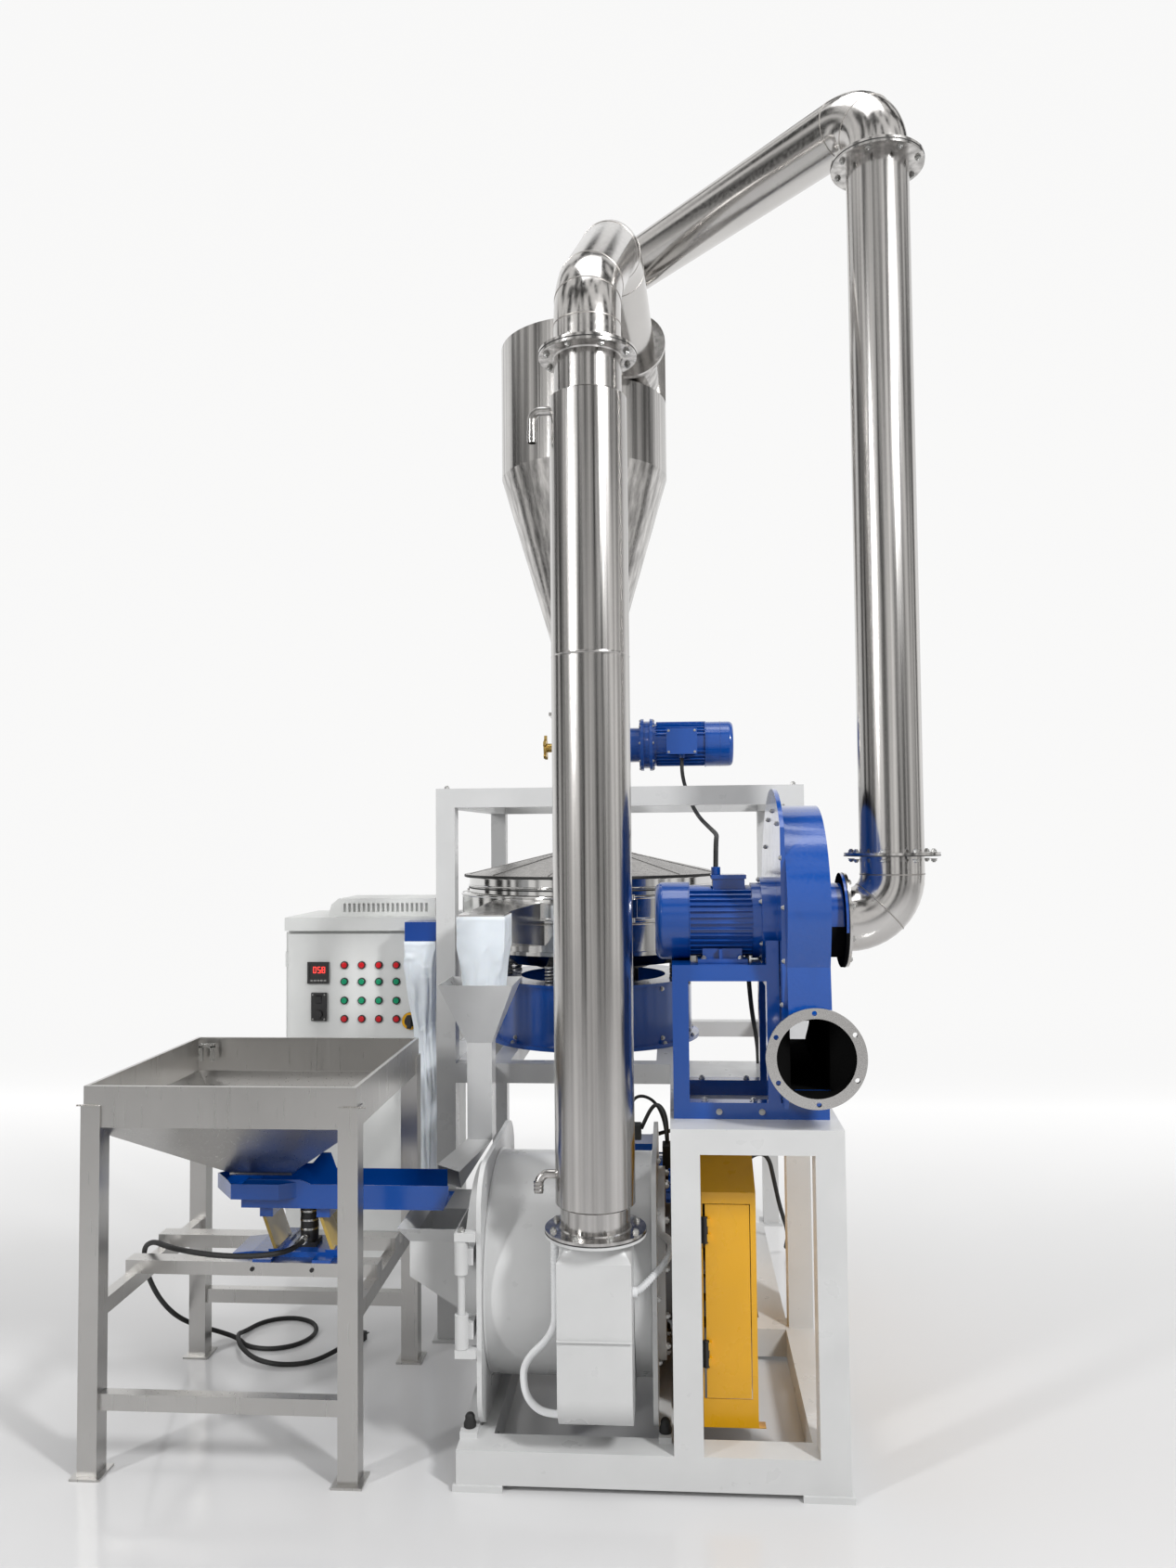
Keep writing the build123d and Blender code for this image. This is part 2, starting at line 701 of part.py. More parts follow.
# Mill housing: drum between two end plates, with feet and hinge lugs
py0 = mill_y - plate_w / 2
py1 = mill_y + plate_w / 2
left_face = plate_left
drum_x0 = plate_left + plate_t
ring_face = plate_right + plate_t
with BuildPart() as mill_housing:
    for px in (plate_left, plate_right):
        with BuildSketch(Plane(origin=(px, 0, 0), x_dir=(0, 1, 0), z_dir=(1, 0, 0))) as end_plate:
            with Locations((mill_y, (beam_top + plate_top) / 2)):
                Rectangle(plate_w, plate_top - beam_top)
            fillet(end_plate.vertices().group_by(Axis.Z)[-1], plate_round)
        extrude(end_plate.sketch, amount=plate_t)
    rod((drum_x0, mill_y, mill_z), (1, 0, 0), drum_r, plate_right - drum_x0)
    block(plate_left - foot_w + plate_t, plate_left, py0, py1, beam_top, beam_top + 14)
    block(ring_face, ring_face + foot_w - 24, py0, py1, beam_top, beam_top + 14)
    rod((ring_face, mill_y, mill_z), (1, 0, 0), end_ring_r, end_ring_t)
    rod((plate_left, mill_y, mill_z), (1, 0, 0), mill_bore_r, 150, Mode.SUBTRACT)
    rod((plate_left, mill_y, mill_z), (1, 0, 0), shaft_r + 4, 700, Mode.SUBTRACT)
    block(riser_x - duct_half - 1, riser_x + duct_half + 1, riser_y - duct_half, mill_y - 150,
          duct_bottom + 20, mill_z, Mode.SUBTRACT)
    for lug_z in (lug_low, lug_high):
        block(hinge_x - 15, plate_left, hinge_y - 15, hinge_y + 15, lug_z, lug_z + lug_t)
    rod((hinge_x, hinge_y, lug_low), (0, 0, 1), pin_r, lug_high + lug_t - lug_low)
save(mill_housing, "mill_housing")

# Mill door: dished disc on a vertical hinge, carrying the feed inlet
door_face = plate_left - 4
door_out = door_face - mill_door_t
with BuildPart() as mill_door:
    rod((door_face, mill_y, mill_z), (-1, 0, 0), mill_door_r, mill_door_t)
    knuckle_z0 = lug_low + lug_t + 1
    knuckle_z1 = lug_high - 1
    block(hinge_x - 14, door_face - 4, hinge_y, mill_y - 120, knuckle_z0 + 20, knuckle_z0 + 60)
    block(hinge_x - 14, door_face - 4, hinge_y, mill_y - 120, knuckle_z1 - 60, knuckle_z1 - 20)
    rod((hinge_x, hinge_y, knuckle_z0), (0, 0, 1), pin_r + 8, 80)
    rod((hinge_x, hinge_y, knuckle_z1 - 80), (0, 0, 1), pin_r + 8, 80)
    mouth_in = mouth_x1 - 10
    outer_side = [(mouth_x0, mouth_top), (mouth_x0 + 25, mouth_mid), (mouth_x0 + 25, 415.0), (mouth_x1, 333.0),
                  (door_out + 2, 333.0), (door_out + 2, 455.0), (mouth_x1, mouth_mid), (mouth_x1, mouth_top)]
    profile_y(outer_side, mouth_y0 + 35, mouth_y1 - 35)
    wedge(((mouth_x0 + mouth_x1 + 25) / 2, (mouth_y0 + mouth_y1) / 2, mouth_x1 - mouth_x0 - 25,
           mouth_y1 - mouth_y0 - 70), mouth_mid,
          ((mouth_x0 + mouth_x1) / 2, (mouth_y0 + mouth_y1) / 2, mouth_x1 - mouth_x0, mouth_y1 - mouth_y0), mouth_top)
    wedge(((mouth_x0 + mouth_x1 + 25) / 2, (mouth_y0 + mouth_y1) / 2, mouth_x1 - mouth_x0 - 25 - 2 * sheet,
           mouth_y1 - mouth_y0 - 70 - 2 * sheet), mouth_mid,
          ((mouth_x0 + mouth_x1) / 2, (mouth_y0 + mouth_y1) / 2, mouth_x1 - mouth_x0 - 2 * sheet,
           mouth_y1 - mouth_y0 - 2 * sheet), mouth_top + 0.01, Mode.SUBTRACT)
    profile_y([(mouth_x0 + 25 + sheet, mouth_mid + 0.5), (mouth_x0 + 25 + sheet, 415.0 + sheet),
               (mouth_x1 + 3, 333.0 + sheet), (door_face + 1, 340.0), (door_face + 1, 420.0),
               (mouth_x1 - sheet, 450.0), (mouth_x1 - sheet, mouth_mid + 0.5)],
              mouth_y0 + 35 + sheet, mouth_y1 - 35 - sheet, Mode.SUBTRACT)
    rod((hinge_x, hinge_y, lug_low), (0, 0, 1), pin_r + run_gap / 5, lug_high - lug_low + lug_t, Mode.SUBTRACT)
save(mill_door, "mill_door")

# Rotor: grinding disc, shaft and drive pulley
shaft_end = pulley_x + pulley_w
with BuildPart() as mill_rotor:
    rod((plate_left + 20, mill_y, mill_z), (1, 0, 0), rotor_r, 40)
    rod((plate_left + 10, mill_y, mill_z), (1, 0, 0), shaft_r + 20, 60)
    rod((plate_left + 20, mill_y, mill_z), (1, 0, 0), shaft_r, shaft_end - plate_left)
    rod((pulley_x, mill_y, mill_z), (1, 0, 0), mill_pulley_r, pulley_w)
    for groove in range(4):
        groove_x = pulley_x + 10 + groove * 17
        pipe((groove_x, mill_y, mill_z), (1, 0, 0), mill_pulley_r + 1, mill_pulley_r - belt_t, 13, Mode.SUBTRACT)
save(mill_rotor, "mill_rotor")

# Bearing housing between the end ring and the pulley
ring_out = ring_face + end_ring_t
with BuildPart() as bearing_housing:
    rod((ring_out, mill_y, mill_z), (1, 0, 0), bearing_r + 50, 16)
    rod((ring_out + 16, mill_y, mill_z), (1, 0, 0), bearing_r, bearing_l - 36)
    rod((ring_out + bearing_l - 20, mill_y, mill_z), (1, 0, 0), bearing_r - 20, 14)
    rod((ring_out - 1, mill_y, mill_z), (1, 0, 0), shaft_r + 0.06, 200, Mode.SUBTRACT)
save(bearing_housing, "bearing_housing")

# Discharge duct: box hugging the drum that turns round at its top flange
dx0 = riser_x - duct_half
dx1 = riser_x + duct_half
dy0 = riser_y - riser_r
dy1 = riser_y + riser_r
with BuildPart() as discharge_duct:
    with BuildSketch(Plane(origin=(dx0, 0, 0), x_dir=(0, 1, 0), z_dir=(1, 0, 0))) as side_view:
        with BuildLine():
            Polyline((dy0 + duct_round, duct_bottom), (mill_y - 60, duct_bottom), (mill_y - 60, 300.0),
                     (dy1, 330.0), (dy1, duct_square), (dy0, duct_square), (dy0, duct_bottom + duct_round))
            RadiusArc((dy0, duct_bottom + duct_round), (dy0 + duct_round, duct_bottom), -duct_round)
        make_face()
    extrude(side_view.sketch, amount=dx1 - dx0)
    with BuildSketch(Plane.XY.offset(duct_square)) as square:
        with Locations((riser_x, riser_y)):
            Rectangle(dx1 - dx0, dy1 - dy0)
    with BuildSketch(Plane.XY.offset(riser_low - flange_t)) as circle:
        with Locations((riser_x, riser_y)):
            Circle(riser_r)
    loft([square.sketch.face(), circle.sketch.face()])
    rod((riser_x, riser_y, riser_low - flange_t), (0, 0, 1), flange_r, flange_t)
    rod((riser_x, riser_y, 250.0), (0, 0, 1), riser_r - 8, 500, Mode.SUBTRACT)
    rod((drum_x0, mill_y, mill_z), (1, 0, 0), drum_r, 500, Mode.SUBTRACT)
save(discharge_duct, "discharge_duct")

# Riser pipe with its water jacket and two hose nozzles
with BuildPart() as riser_pipe:
    pipe((riser_x, riser_y, riser_low), (0, 0, 1), riser_r, riser_r - sheet, riser_high - riser_low)
    pipe((riser_x, riser_y, riser_low), (0, 0, 1), flange_r, riser_r - sheet, flange_t)
    pipe((riser_x, riser_y, riser_high - flange_t), (0, 0, 1), flange_r, riser_r - sheet, flange_t)
    pipe((riser_x, riser_y, jacket_low), (0, 0, 1), jacket_r, riser_r - 1, jacket_high - jacket_low)
    pipe((riser_x, riser_y, jacket_seam), (0, 0, 1), jacket_r + 1, riser_r - 1, 5)
    nozzle_x, nozzle_z = riser_x - jacket_r - nozzle_reach, jacket_high - nozzle_depth
    round_run([(riser_x - jacket_r + 8, riser_y, nozzle_z), (nozzle_x, riser_y, nozzle_z),
               (nozzle_x, riser_y, nozzle_z - nozzle_fall)], 26, 11)
    drain_x, drain_z = riser_x - jacket_r - drain_reach, jacket_low + drain_height
    round_run([(riser_x - jacket_r + 8, riser_y, drain_z), (drain_x, riser_y, drain_z),
               (drain_x, riser_y - 18, drain_z - drain_fall)], 16, 11)
save(riser_pipe, "riser_pipe")

# Duct from the riser over to the cyclone
route = [(riser_x, riser_y, riser_high), (riser_x, riser_y, mitre_z), (crown_x, crown_y, crown_z),
         (inlet_x, inlet_y, inlet_z)]
inlet_way = (Vector(*route[3]) - Vector(*route[2])).normalized()
with BuildPart() as cyclone_inlet_duct:
    round_run(route, [170, crown_bend], riser_r, riser_r - sheet)
    pipe(route[0], (0, 0, 1), flange_r, riser_r - sheet, flange_t)
    back = Vector(*route[3]) - inlet_way * flange_t
    pipe(tuple(back), tuple(inlet_way), flange_r, riser_r - sheet, flange_t)
save(cyclone_inlet_duct, "cyclone_inlet_duct")

# Cyclone: stepped cylinder with its lid and air neck
inlet_len = (cyc_y - inlet_y) / inlet_way.Y
with BuildPart() as shell_form:
    rod((cyc_x, cyc_y, cyc_low), (0, 0, 1), cyc_r, cyc_top - cyc_low)
    block(step_x, cyc_x + 400, cyc_y - 400, cyc_y, step_z, cyc_top + 1, Mode.SUBTRACT)
with BuildPart() as hollow_form:
    rod((cyc_x, cyc_y, cyc_low - 1), (0, 0, 1), cyc_r - sheet, cyc_top - sheet - cyc_low + 1)
    block(step_x - sheet, cyc_x + 400, cyc_y - 400, cyc_y + sheet, step_z - sheet, cyc_top + 1, Mode.SUBTRACT)
with BuildPart() as cyclone:
    add(shell_form.part)
    rod((cyc_x, cyc_y, cyc_top), (0, 0, 1), air_r, air_flange_z - cyc_top)
    rod((cyc_x, cyc_y, air_flange_z - flange_t), (0, 0, 1), flange_r, flange_t)
    add(hollow_form.part, mode=Mode.SUBTRACT)
    rod(route[3], tuple(inlet_way), riser_r - sheet, inlet_len + 60, Mode.SUBTRACT)
    rod((cyc_x, cyc_y, cyc_top - 60), (0, 0, 1), air_r - sheet, 300, Mode.SUBTRACT)
save(cyclone, "cyclone")

# Cyclone cone with the flange of the rotary valve
with BuildPart() as cyclone_cone:
    with BuildSketch(Plane(origin=(cyc_x, cyc_y, 0), x_dir=(1, 0, 0), z_dir=(0, -1, 0))) as cone:
        with BuildLine():
            Polyline((cone_r - sheet, neck_low), (flange_r, neck_low), (flange_r, neck_low + flange_t),
                     (cone_r, neck_low + flange_t), (cone_r, cone_low), (cyc_r, cyc_low), (cyc_r - sheet, cyc_low),
                     (cone_r - sheet, cone_low), close=True)
        make_face()
    revolve(cone.sketch, axis=Axis((cyc_x, cyc_y, 0), (0, 0, 1)))
save(cyclone_cone, "cyclone_cone")

# Slanted inlet neck of the cyclone, cut to the shell it is welded to
with BuildPart() as cyclone_inlet:
    rod(route[3], tuple(inlet_way), riser_r, inlet_len + 10)
    rod(route[3], tuple(inlet_way), flange_r, flange_t)
    rod(route[3], tuple(inlet_way), riser_r - sheet, inlet_len + 60, Mode.SUBTRACT)
    add(shell_form.part, mode=Mode.SUBTRACT)
save(cyclone_inlet, "cyclone_inlet")

# Suction duct from the cyclone to the fan riser
with BuildPart() as cyclone_outlet_duct:
    round_run([(cyc_x, cyc_y, air_flange_z), (cyc_x, cyc_y, air_z + air_rise), (fan_riser_x, fan_y, air_z),
               (fan_riser_x, fan_y, air_flange_z)], air_bend, air_r, air_r - sheet)
    pipe((cyc_x, cyc_y, air_flange_z), (0, 0, 1), flange_r, air_r - sheet, flange_t)
    pipe((fan_riser_x, fan_y, air_flange_z), (0, 0, 1), flange_r, air_r - sheet, flange_t)
save(cyclone_outlet_duct, "cyclone_outlet_duct")

# Fan riser: straight pipe with two flanges
with BuildPart() as fan_riser:
    pipe((fan_riser_x, fan_y, fan_riser_low), (0, 0, 1), air_r, air_r - sheet, air_flange_z - fan_riser_low)
    pipe((fan_riser_x, fan_y, fan_riser_low), (0, 0, 1), flange_r, air_r - sheet, flange_t)
    pipe((fan_riser_x, fan_y, air_flange_z - flange_t), (0, 0, 1), flange_r, air_r - sheet, flange_t)
save(fan_riser, "fan_riser")

# Elbow into the fan's inlet
elbow_x = fan_x1 + inlet_neck
with BuildPart() as fan_inlet_elbow:
    round_run([(fan_riser_x, fan_y, fan_riser_low), (fan_riser_x, fan_y, fan_z), (elbow_x, fan_y, fan_z)],
              elbow_bend, air_r, air_r - sheet)
    pipe((fan_riser_x, fan_y, fan_riser_low - flange_t), (0, 0, 1), flange_r, air_r - sheet, flange_t)
    pipe((elbow_x, fan_y, fan_z), (1, 0, 0), flange_r, air_r - sheet, flange_t)
save(fan_inlet_elbow, "fan_inlet_elbow")

# Fan casing: scroll with a back plate and an outlet throat towards the front
fan_w = fan_x1 - fan_x0
scroll_low = fan_z - outlet_z + outlet_r
spread = scroll_low - fan_r


def scroll_face(at_x, inset):
    """The side view of the scroll with its throat, drawn smaller by the inset."""
    turn = []
    for step in range(9):
        angle = radians(205 - 36.875 * step)
        reach = fan_r - spread / 2 + 1.5 * spread * step / 8 - inset
        turn.append((fan_y + reach * cos(angle), fan_z + reach * sin(angle)))
    turn[-1] = (fan_y, fan_z - scroll_low + inset)
    with BuildSketch(Plane(origin=(at_x, 0, 0), x_dir=(0, 1, 0), z_dir=(1, 0, 0))) as face:
        with BuildLine():
            Spline(*turn, tangents=((-0.35, 1), (-1, 0)))
            Polyline(turn[-1], (outlet_box, turn[-1][1]), (outlet_box, outlet_z + outlet_r - inset),
                     (turn[0][0] - 12, outlet_z + outlet_r - inset), turn[0])
        make_face()
    return face.sketch


with BuildPart() as fan_casing:
    extrude(scroll_face(fan_x0, 0), amount=fan_w)
    extrude(scroll_face(fan_x0 + fan_wall, fan_wall), amount=fan_w - 2 * fan_wall, mode=Mode.SUBTRACT)
    extrude(scroll_face(fan_x0 - fan_plate_t, -fan_plate_rim), amount=fan_plate_t)
    block(fan_x0 - fan_plate_t - 1, fan_x0 + 1, outlet_front - 200, outlet_box, 500, 2000, Mode.SUBTRACT)
    block(fan_x0 - fan_plate_t, fan_x0, fan_base_y0, fan_base_y1, tower_top + fan_rail, fan_z - 300)
    block(fan_x0 - fan_plate_t - 1, fan_x0 + 1, fan_base_y0 - 300, fan_base_y1 + 300, 500,
          tower_top + fan_rail, Mode.SUBTRACT)
    rod((fan_x1, fan_y, fan_z), (1, 0, 0), air_r + 14, elbow_x - fan_x1)
    rod((elbow_x - flange_t, fan_y, fan_z), (1, 0, 0), flange_r, flange_t)
    rod((fan_x0 + fan_wall + 1, fan_y, fan_z), (1, 0, 0), air_r - sheet, 200, Mode.SUBTRACT)
    rod((fan_x0 - fan_plate_t - 1, fan_y, fan_z), (1, 0, 0), 26, 30, Mode.SUBTRACT)
    block(fan_x0 + fan_wall, fan_x1 - fan_wall, outlet_box - 5, outlet_box + 20,
          outlet_z - outlet_r + fan_wall, outlet_z + outlet_r - fan_wall, Mode.SUBTRACT)
save(fan_casing, "fan_casing")

# Fan outlet: square to round spigot with a drilled flange
outlet_x_mid = (fan_x0 + fan_x1) / 2 + outlet_shift
throat_at = (-outlet_shift, 0)


def facing_front(at_y):
    """A plane on the outlet's axis, looked at from the front."""
    return Plane(origin=(outlet_x_mid, at_y, outlet_z), x_dir=(1, 0, 0), z_dir=(0, -1, 0))


with BuildPart() as fan_outlet:
    with BuildSketch(facing_front(outlet_box)) as throat:
        with Locations(throat_at):
            Rectangle(fan_w - 4, 2 * outlet_r)
    with BuildSketch(facing_front(outlet_front + 34)) as spigot:
        Circle(outlet_r + sheet)
    loft([throat.sketch.face(), spigot.sketch.face()])
    rod((outlet_x_mid, outlet_front + 34, outlet_z), (0, -1, 0), outlet_r + sheet, 34)
    rod((outlet_x_mid, outlet_front + flange_t + 2, outlet_z), (0, -1, 0), outlet_flange_r, flange_t + 2)
    with BuildSketch(facing_front(outlet_box)) as throat_in:
        with Locations(throat_at):
            Rectangle(fan_w - 4 - 2 * sheet, 2 * (outlet_r - sheet))
    with BuildSketch(facing_front(outlet_front + 34)) as spigot_in:
        Circle(outlet_r)
    loft([throat_in.sketch.face(), spigot_in.sketch.face()], mode=Mode.SUBTRACT)
    rod((outlet_x_mid, outlet_front + 34, outlet_z), (0, -1, 0), outlet_r, 40, Mode.SUBTRACT)
    with BuildSketch(facing_front(outlet_front + 20)) as bolt_holes:
        with PolarLocations(outlet_pcd / 2, outlet_bolts, start_angle=32):
            Circle(outlet_hole)
    extrude(bolt_holes.sketch, amount=30, mode=Mode.SUBTRACT)
save(fan_outlet, "fan_outlet")

# Fan base: rails, posts and the motor platform
with BuildPart() as fan_base:
    for by in (fan_base_y0, fan_base_y1 - fan_rail):
        block(fan_base_x0, fan_base_x1, by, by + fan_rail, tower_top, tower_top + fan_rail)
        block(fan_base_x0, fan_x0 - 44, by, by + fan_rail, fan_base_z - fan_rail, fan_base_z)
        block(fan_base_x0, fan_base_x0 + fan_rail, by, by + fan_rail, tower_top, fan_base_z)
        block(fan_x0 - 44, fan_x0 - fan_plate_t - 2, by, by + fan_rail, tower_top, fan_base_z + 60)
    block(fan_base_x0, fan_base_x0 + fan_rail, fan_base_y0, fan_base_y1, tower_top, tower_top + fan_rail)
    block(fan_base_x0, fan_motor_x1 - 4, fan_base_y0, fan_base_y1, fan_base_z - 10, fan_base_z)
    block(fan_x0 - 44, fan_x0 - fan_plate_t - 2, fan_base_y0, fan_base_y1, fan_base_z - fan_rail - 16,
          fan_base_z - 16)
save(fan_base, "fan_base")

# Fan motor: cowl, body, end shield, feet and terminal box
with BuildPart() as fan_motor:
    rod((fan_motor_x0, fan_y, fan_z), (1, 0, 0), fan_motor_r + 8, 88)
    fillet(fan_motor.faces().sort_by(Axis.X)[0].edges(), 20)
    rod((fan_motor_x0 + 88, fan_y, fan_z), (1, 0, 0), fan_motor_r, 160)
    rod((fan_motor_x0 + 248, fan_y, fan_z), (1, 0, 0), fan_motor_r + 6, fan_motor_x1 - fan_motor_x0 - 248)
    for fy in (fan_y - 80, fan_y + 50):
        block(fan_motor_x0 + 120, fan_motor_x0 + 220, fy, fy + 30, fan_base_z, fan_z - 66)
    block(fan_motor_x0 + 150, fan_motor_x0 + 232, fan_y - 40, fan_y + 40, fan_z + 60, fan_z + fan_motor_r + 18)
    rod((fan_motor_x1, fan_y, fan_z), (1, 0, 0), fan_motor_r + 20, fan_x0 - fan_plate_t - fan_motor_x1)
    rod((fan_motor_x1 - 30, fan_y, fan_z), (1, 0, 0), 19 + run_gap / 5, 100, Mode.SUBTRACT)
save(fan_motor, "fan_motor")

# Fan impeller on the motor shaft
with BuildPart() as fan_impeller:
    rod((fan_motor_x1 - 28, fan_y, fan_z), (1, 0, 0), 19, fan_x0 + 40 - fan_motor_x1)
    rod((fan_x0 + fan_wall + 8, fan_y, fan_z), (1, 0, 0), fan_r - 90, 5)
    for blade in range(8):
        with Locations(Location((fan_x0 + fan_wall + 40, fan_y, fan_z), (blade * 45, 0, 0))):
            with Locations((0, 0, fan_r - 150)):
                Box(56, 4, 110)
save(fan_impeller, "fan_impeller")

# Sieve stand: four legs, platform, top frame and cross beams
with BuildPart() as sieve_stand:
    for lx in (ss_x0, ss_x1 - ss_tube):
        for ly in (ss_y0, ss_y1 - ss_tube):
            block(lx, lx + ss_tube, ly, ly + ss_tube, 8, ss_top)
            block(lx - 14, lx + ss_foot - 14, ly - 14, ly + ss_foot - 14, 0, 8)
    for bz in (ss_top - ss_tube, ss_deck - ss_tube):
        back_z = bz - ss_back_drop if bz < ss_deck else bz
        block(ss_x0, ss_x1, ss_y0, ss_y0 + ss_tube, bz, bz + ss_tube)
        block(ss_x0, ss_x1, ss_y1 - ss_tube, ss_y1, back_z, back_z + ss_tube)
        for lx in (ss_x0, ss_x1 - ss_tube):
            block(lx, lx + ss_tube, ss_y0, ss_y1, bz, bz + ss_tube)
    for bx in (sieve_x - 290, sieve_x + 230):
        block(bx, bx + ss_tube, ss_y0, ss_y1, ss_deck - ss_tube, ss_deck)
    for bx in (cyc_x - 125, cyc_x + 75):
        block(bx, bx + 50, ss_y0, ss_y1, ss_top - 50, ss_top)
save(sieve_stand, "sieve_stand")

# Sieve base drum with its two rims
with BuildPart() as sieve_base:
    pipe((sieve_x, sieve_y, ss_deck), (0, 0, 1), sieve_base_r, sieve_base_r - 5, sieve_base_top - ss_deck)
    pipe((sieve_x, sieve_y, ss_deck), (0, 0, 1), sieve_base_rim, sieve_base_r - 5, 12)
    pipe((sieve_x, sieve_y, sieve_base_top - 10), (0, 0, 1), sieve_base_r + 8, spring_ring - 60, 10)
save(sieve_base, "sieve_base")

# Ring of coil springs between base and deck
with BuildPart() as sieve_springs:
    with BuildSketch(Plane.XY.offset(sieve_base_top)) as coils:
        with Locations((sieve_x, sieve_y)):
            with PolarLocations(spring_ring, spring_count, start_angle=22.5):
                Circle(spring_r)
    extrude(coils.sketch, amount=deck_low - sieve_base_top)
save(sieve_springs, "sieve_springs")

# Sieve deck: bottom dish, ring walls and two spouts
with BuildPart() as sieve_deck:
    with BuildSketch(Plane(origin=(sieve_x, sieve_y, 0), x_dir=(1, 0, 0), z_dir=(0, -1, 0))) as wall:
        with BuildLine():
            Polyline((0, deck_low), (deck_low_r, deck_low), (deck_r, deck_z - 8), (deck_r + 12, deck_z - 8),
                     (deck_r + 12, deck_z + 4), (deck_r, deck_z + 4), (deck_r, ring_z0), (ring_r, ring_z0),
                     (ring_r, ring_z1), (deck_r, ring_z1), (deck_r, cover_z - sheet), (cover_r - 2, cover_z - sheet),
                     (cover_r - 2, cover_z), (deck_r - sheet, cover_z),
                     (deck_r - sheet, deck_z + 20), (0, deck_low + 30), close=True)
        make_face()
    revolve(wall.sketch, axis=Axis((sieve_x, sieve_y, 0), (0, 0, 1)))
    with BuildSketch(Plane.XY.offset(deck_z + 20)) as clear_inside:
        with Locations((sieve_x, sieve_y)):
            Circle(deck_r - sheet)
    extrude(clear_inside.sketch, amount=cover_z - deck_z, mode=Mode.SUBTRACT)
    rod((sieve_x, sieve_y, product_z + 33), (-1, 0, 0), 30, deck_r + 20, Mode.SUBTRACT)
save(sieve_deck, "sieve_deck")

# Painted spouts on the deck: product to the left, oversize to the front
half = spout_w / 2
back_y = sieve_y - deck_r + 60
hood_y = return_y + hood_half
with BuildPart() as deck_spouts:
    block(product_x, sieve_x - deck_r + 20, sieve_y - half, sieve_y + half, product_z, product_z + 66)
    block(product_x + sheet, sieve_x, sieve_y - half + sheet, sieve_y + half - sheet,
          product_z + sheet, product_z + 66 - sheet, Mode.SUBTRACT)
    block(product_x, product_x + neck_l, sieve_y - half, sieve_y + half, product_z - neck_h, product_z)
    block(product_x + sheet, product_x + neck_l - sheet, sieve_y - half + sheet, sieve_y + half - sheet,
          product_z - neck_h, product_z + 10, Mode.SUBTRACT)
    for wall_in, way in ((0.0, Mode.ADD), (sheet, Mode.SUBTRACT)):
        with BuildSketch(Plane(origin=(0, hood_y - 2 * wall_in, 0), x_dir=(1, 0, 0), z_dir=(0, -1, 0))) as narrow:
            with Locations((return_x, (return_z + return_top) / 2)):
                Rectangle(2 * (hood_half - 8 - wall_in), return_top - return_z - 2 * wall_in)
        with BuildSketch(Plane(origin=(0, back_y + wall_in, 0), x_dir=(1, 0, 0), z_dir=(0, -1, 0))) as wide:
            with Locations(((spout_x0 + spout_x1) / 2, (spout_z0 + spout_z1) / 2)):
                Rectangle(spout_x1 - spout_x0 - 2 * wall_in, spout_z1 - spout_z0 - 2 * wall_in)
        loft([narrow.sketch.face(), wide.sketch.face()], mode=way)
        block(return_x - hood_half + wall_in, return_x + hood_half - wall_in, return_y - hood_half + wall_in,
              hood_y - wall_in, return_z - wall_in, return_top - wall_in, way)
    with BuildSketch(Plane.XY.offset(product_z - 20)) as deck_outside:
        with Locations((sieve_x, sieve_y)):
            Circle(deck_r)
    extrude(deck_outside.sketch, amount=ring_z0 - product_z + 20, mode=Mode.SUBTRACT)
    with BuildSketch(Plane.XY.offset(ring_z0)) as ring_outside:
        with Locations((sieve_x, sieve_y)):
            Circle(ring_r)
    extrude(ring_outside.sketch, amount=200, mode=Mode.SUBTRACT)
save(deck_spouts, "deck_spouts")

# Sieve cover: shallow cone with a rim and an inlet collar
with BuildPart() as sieve_cover:
    with BuildSketch(Plane(origin=(sieve_x, sieve_y, 0), x_dir=(1, 0, 0), z_dir=(0, -1, 0))) as lid:
        with BuildLine():
            Polyline((cover_inlet_r, cover_apex - 4), (cover_r - 6, cover_z), (cover_r, cover_z),
                     (cover_r, cover_z + 8), (cover_r - 10, cover_z + 8), (cover_inlet_r + 4, cover_apex),
                     (cover_inlet_r + 4, cover_apex + 40), (cover_inlet_r, cover_apex + 40), close=True)
        make_face()
    revolve(lid.sketch, axis=Axis((sieve_x, sieve_y, 0), (0, 0, 1)))
save(sieve_cover, "sieve_cover")

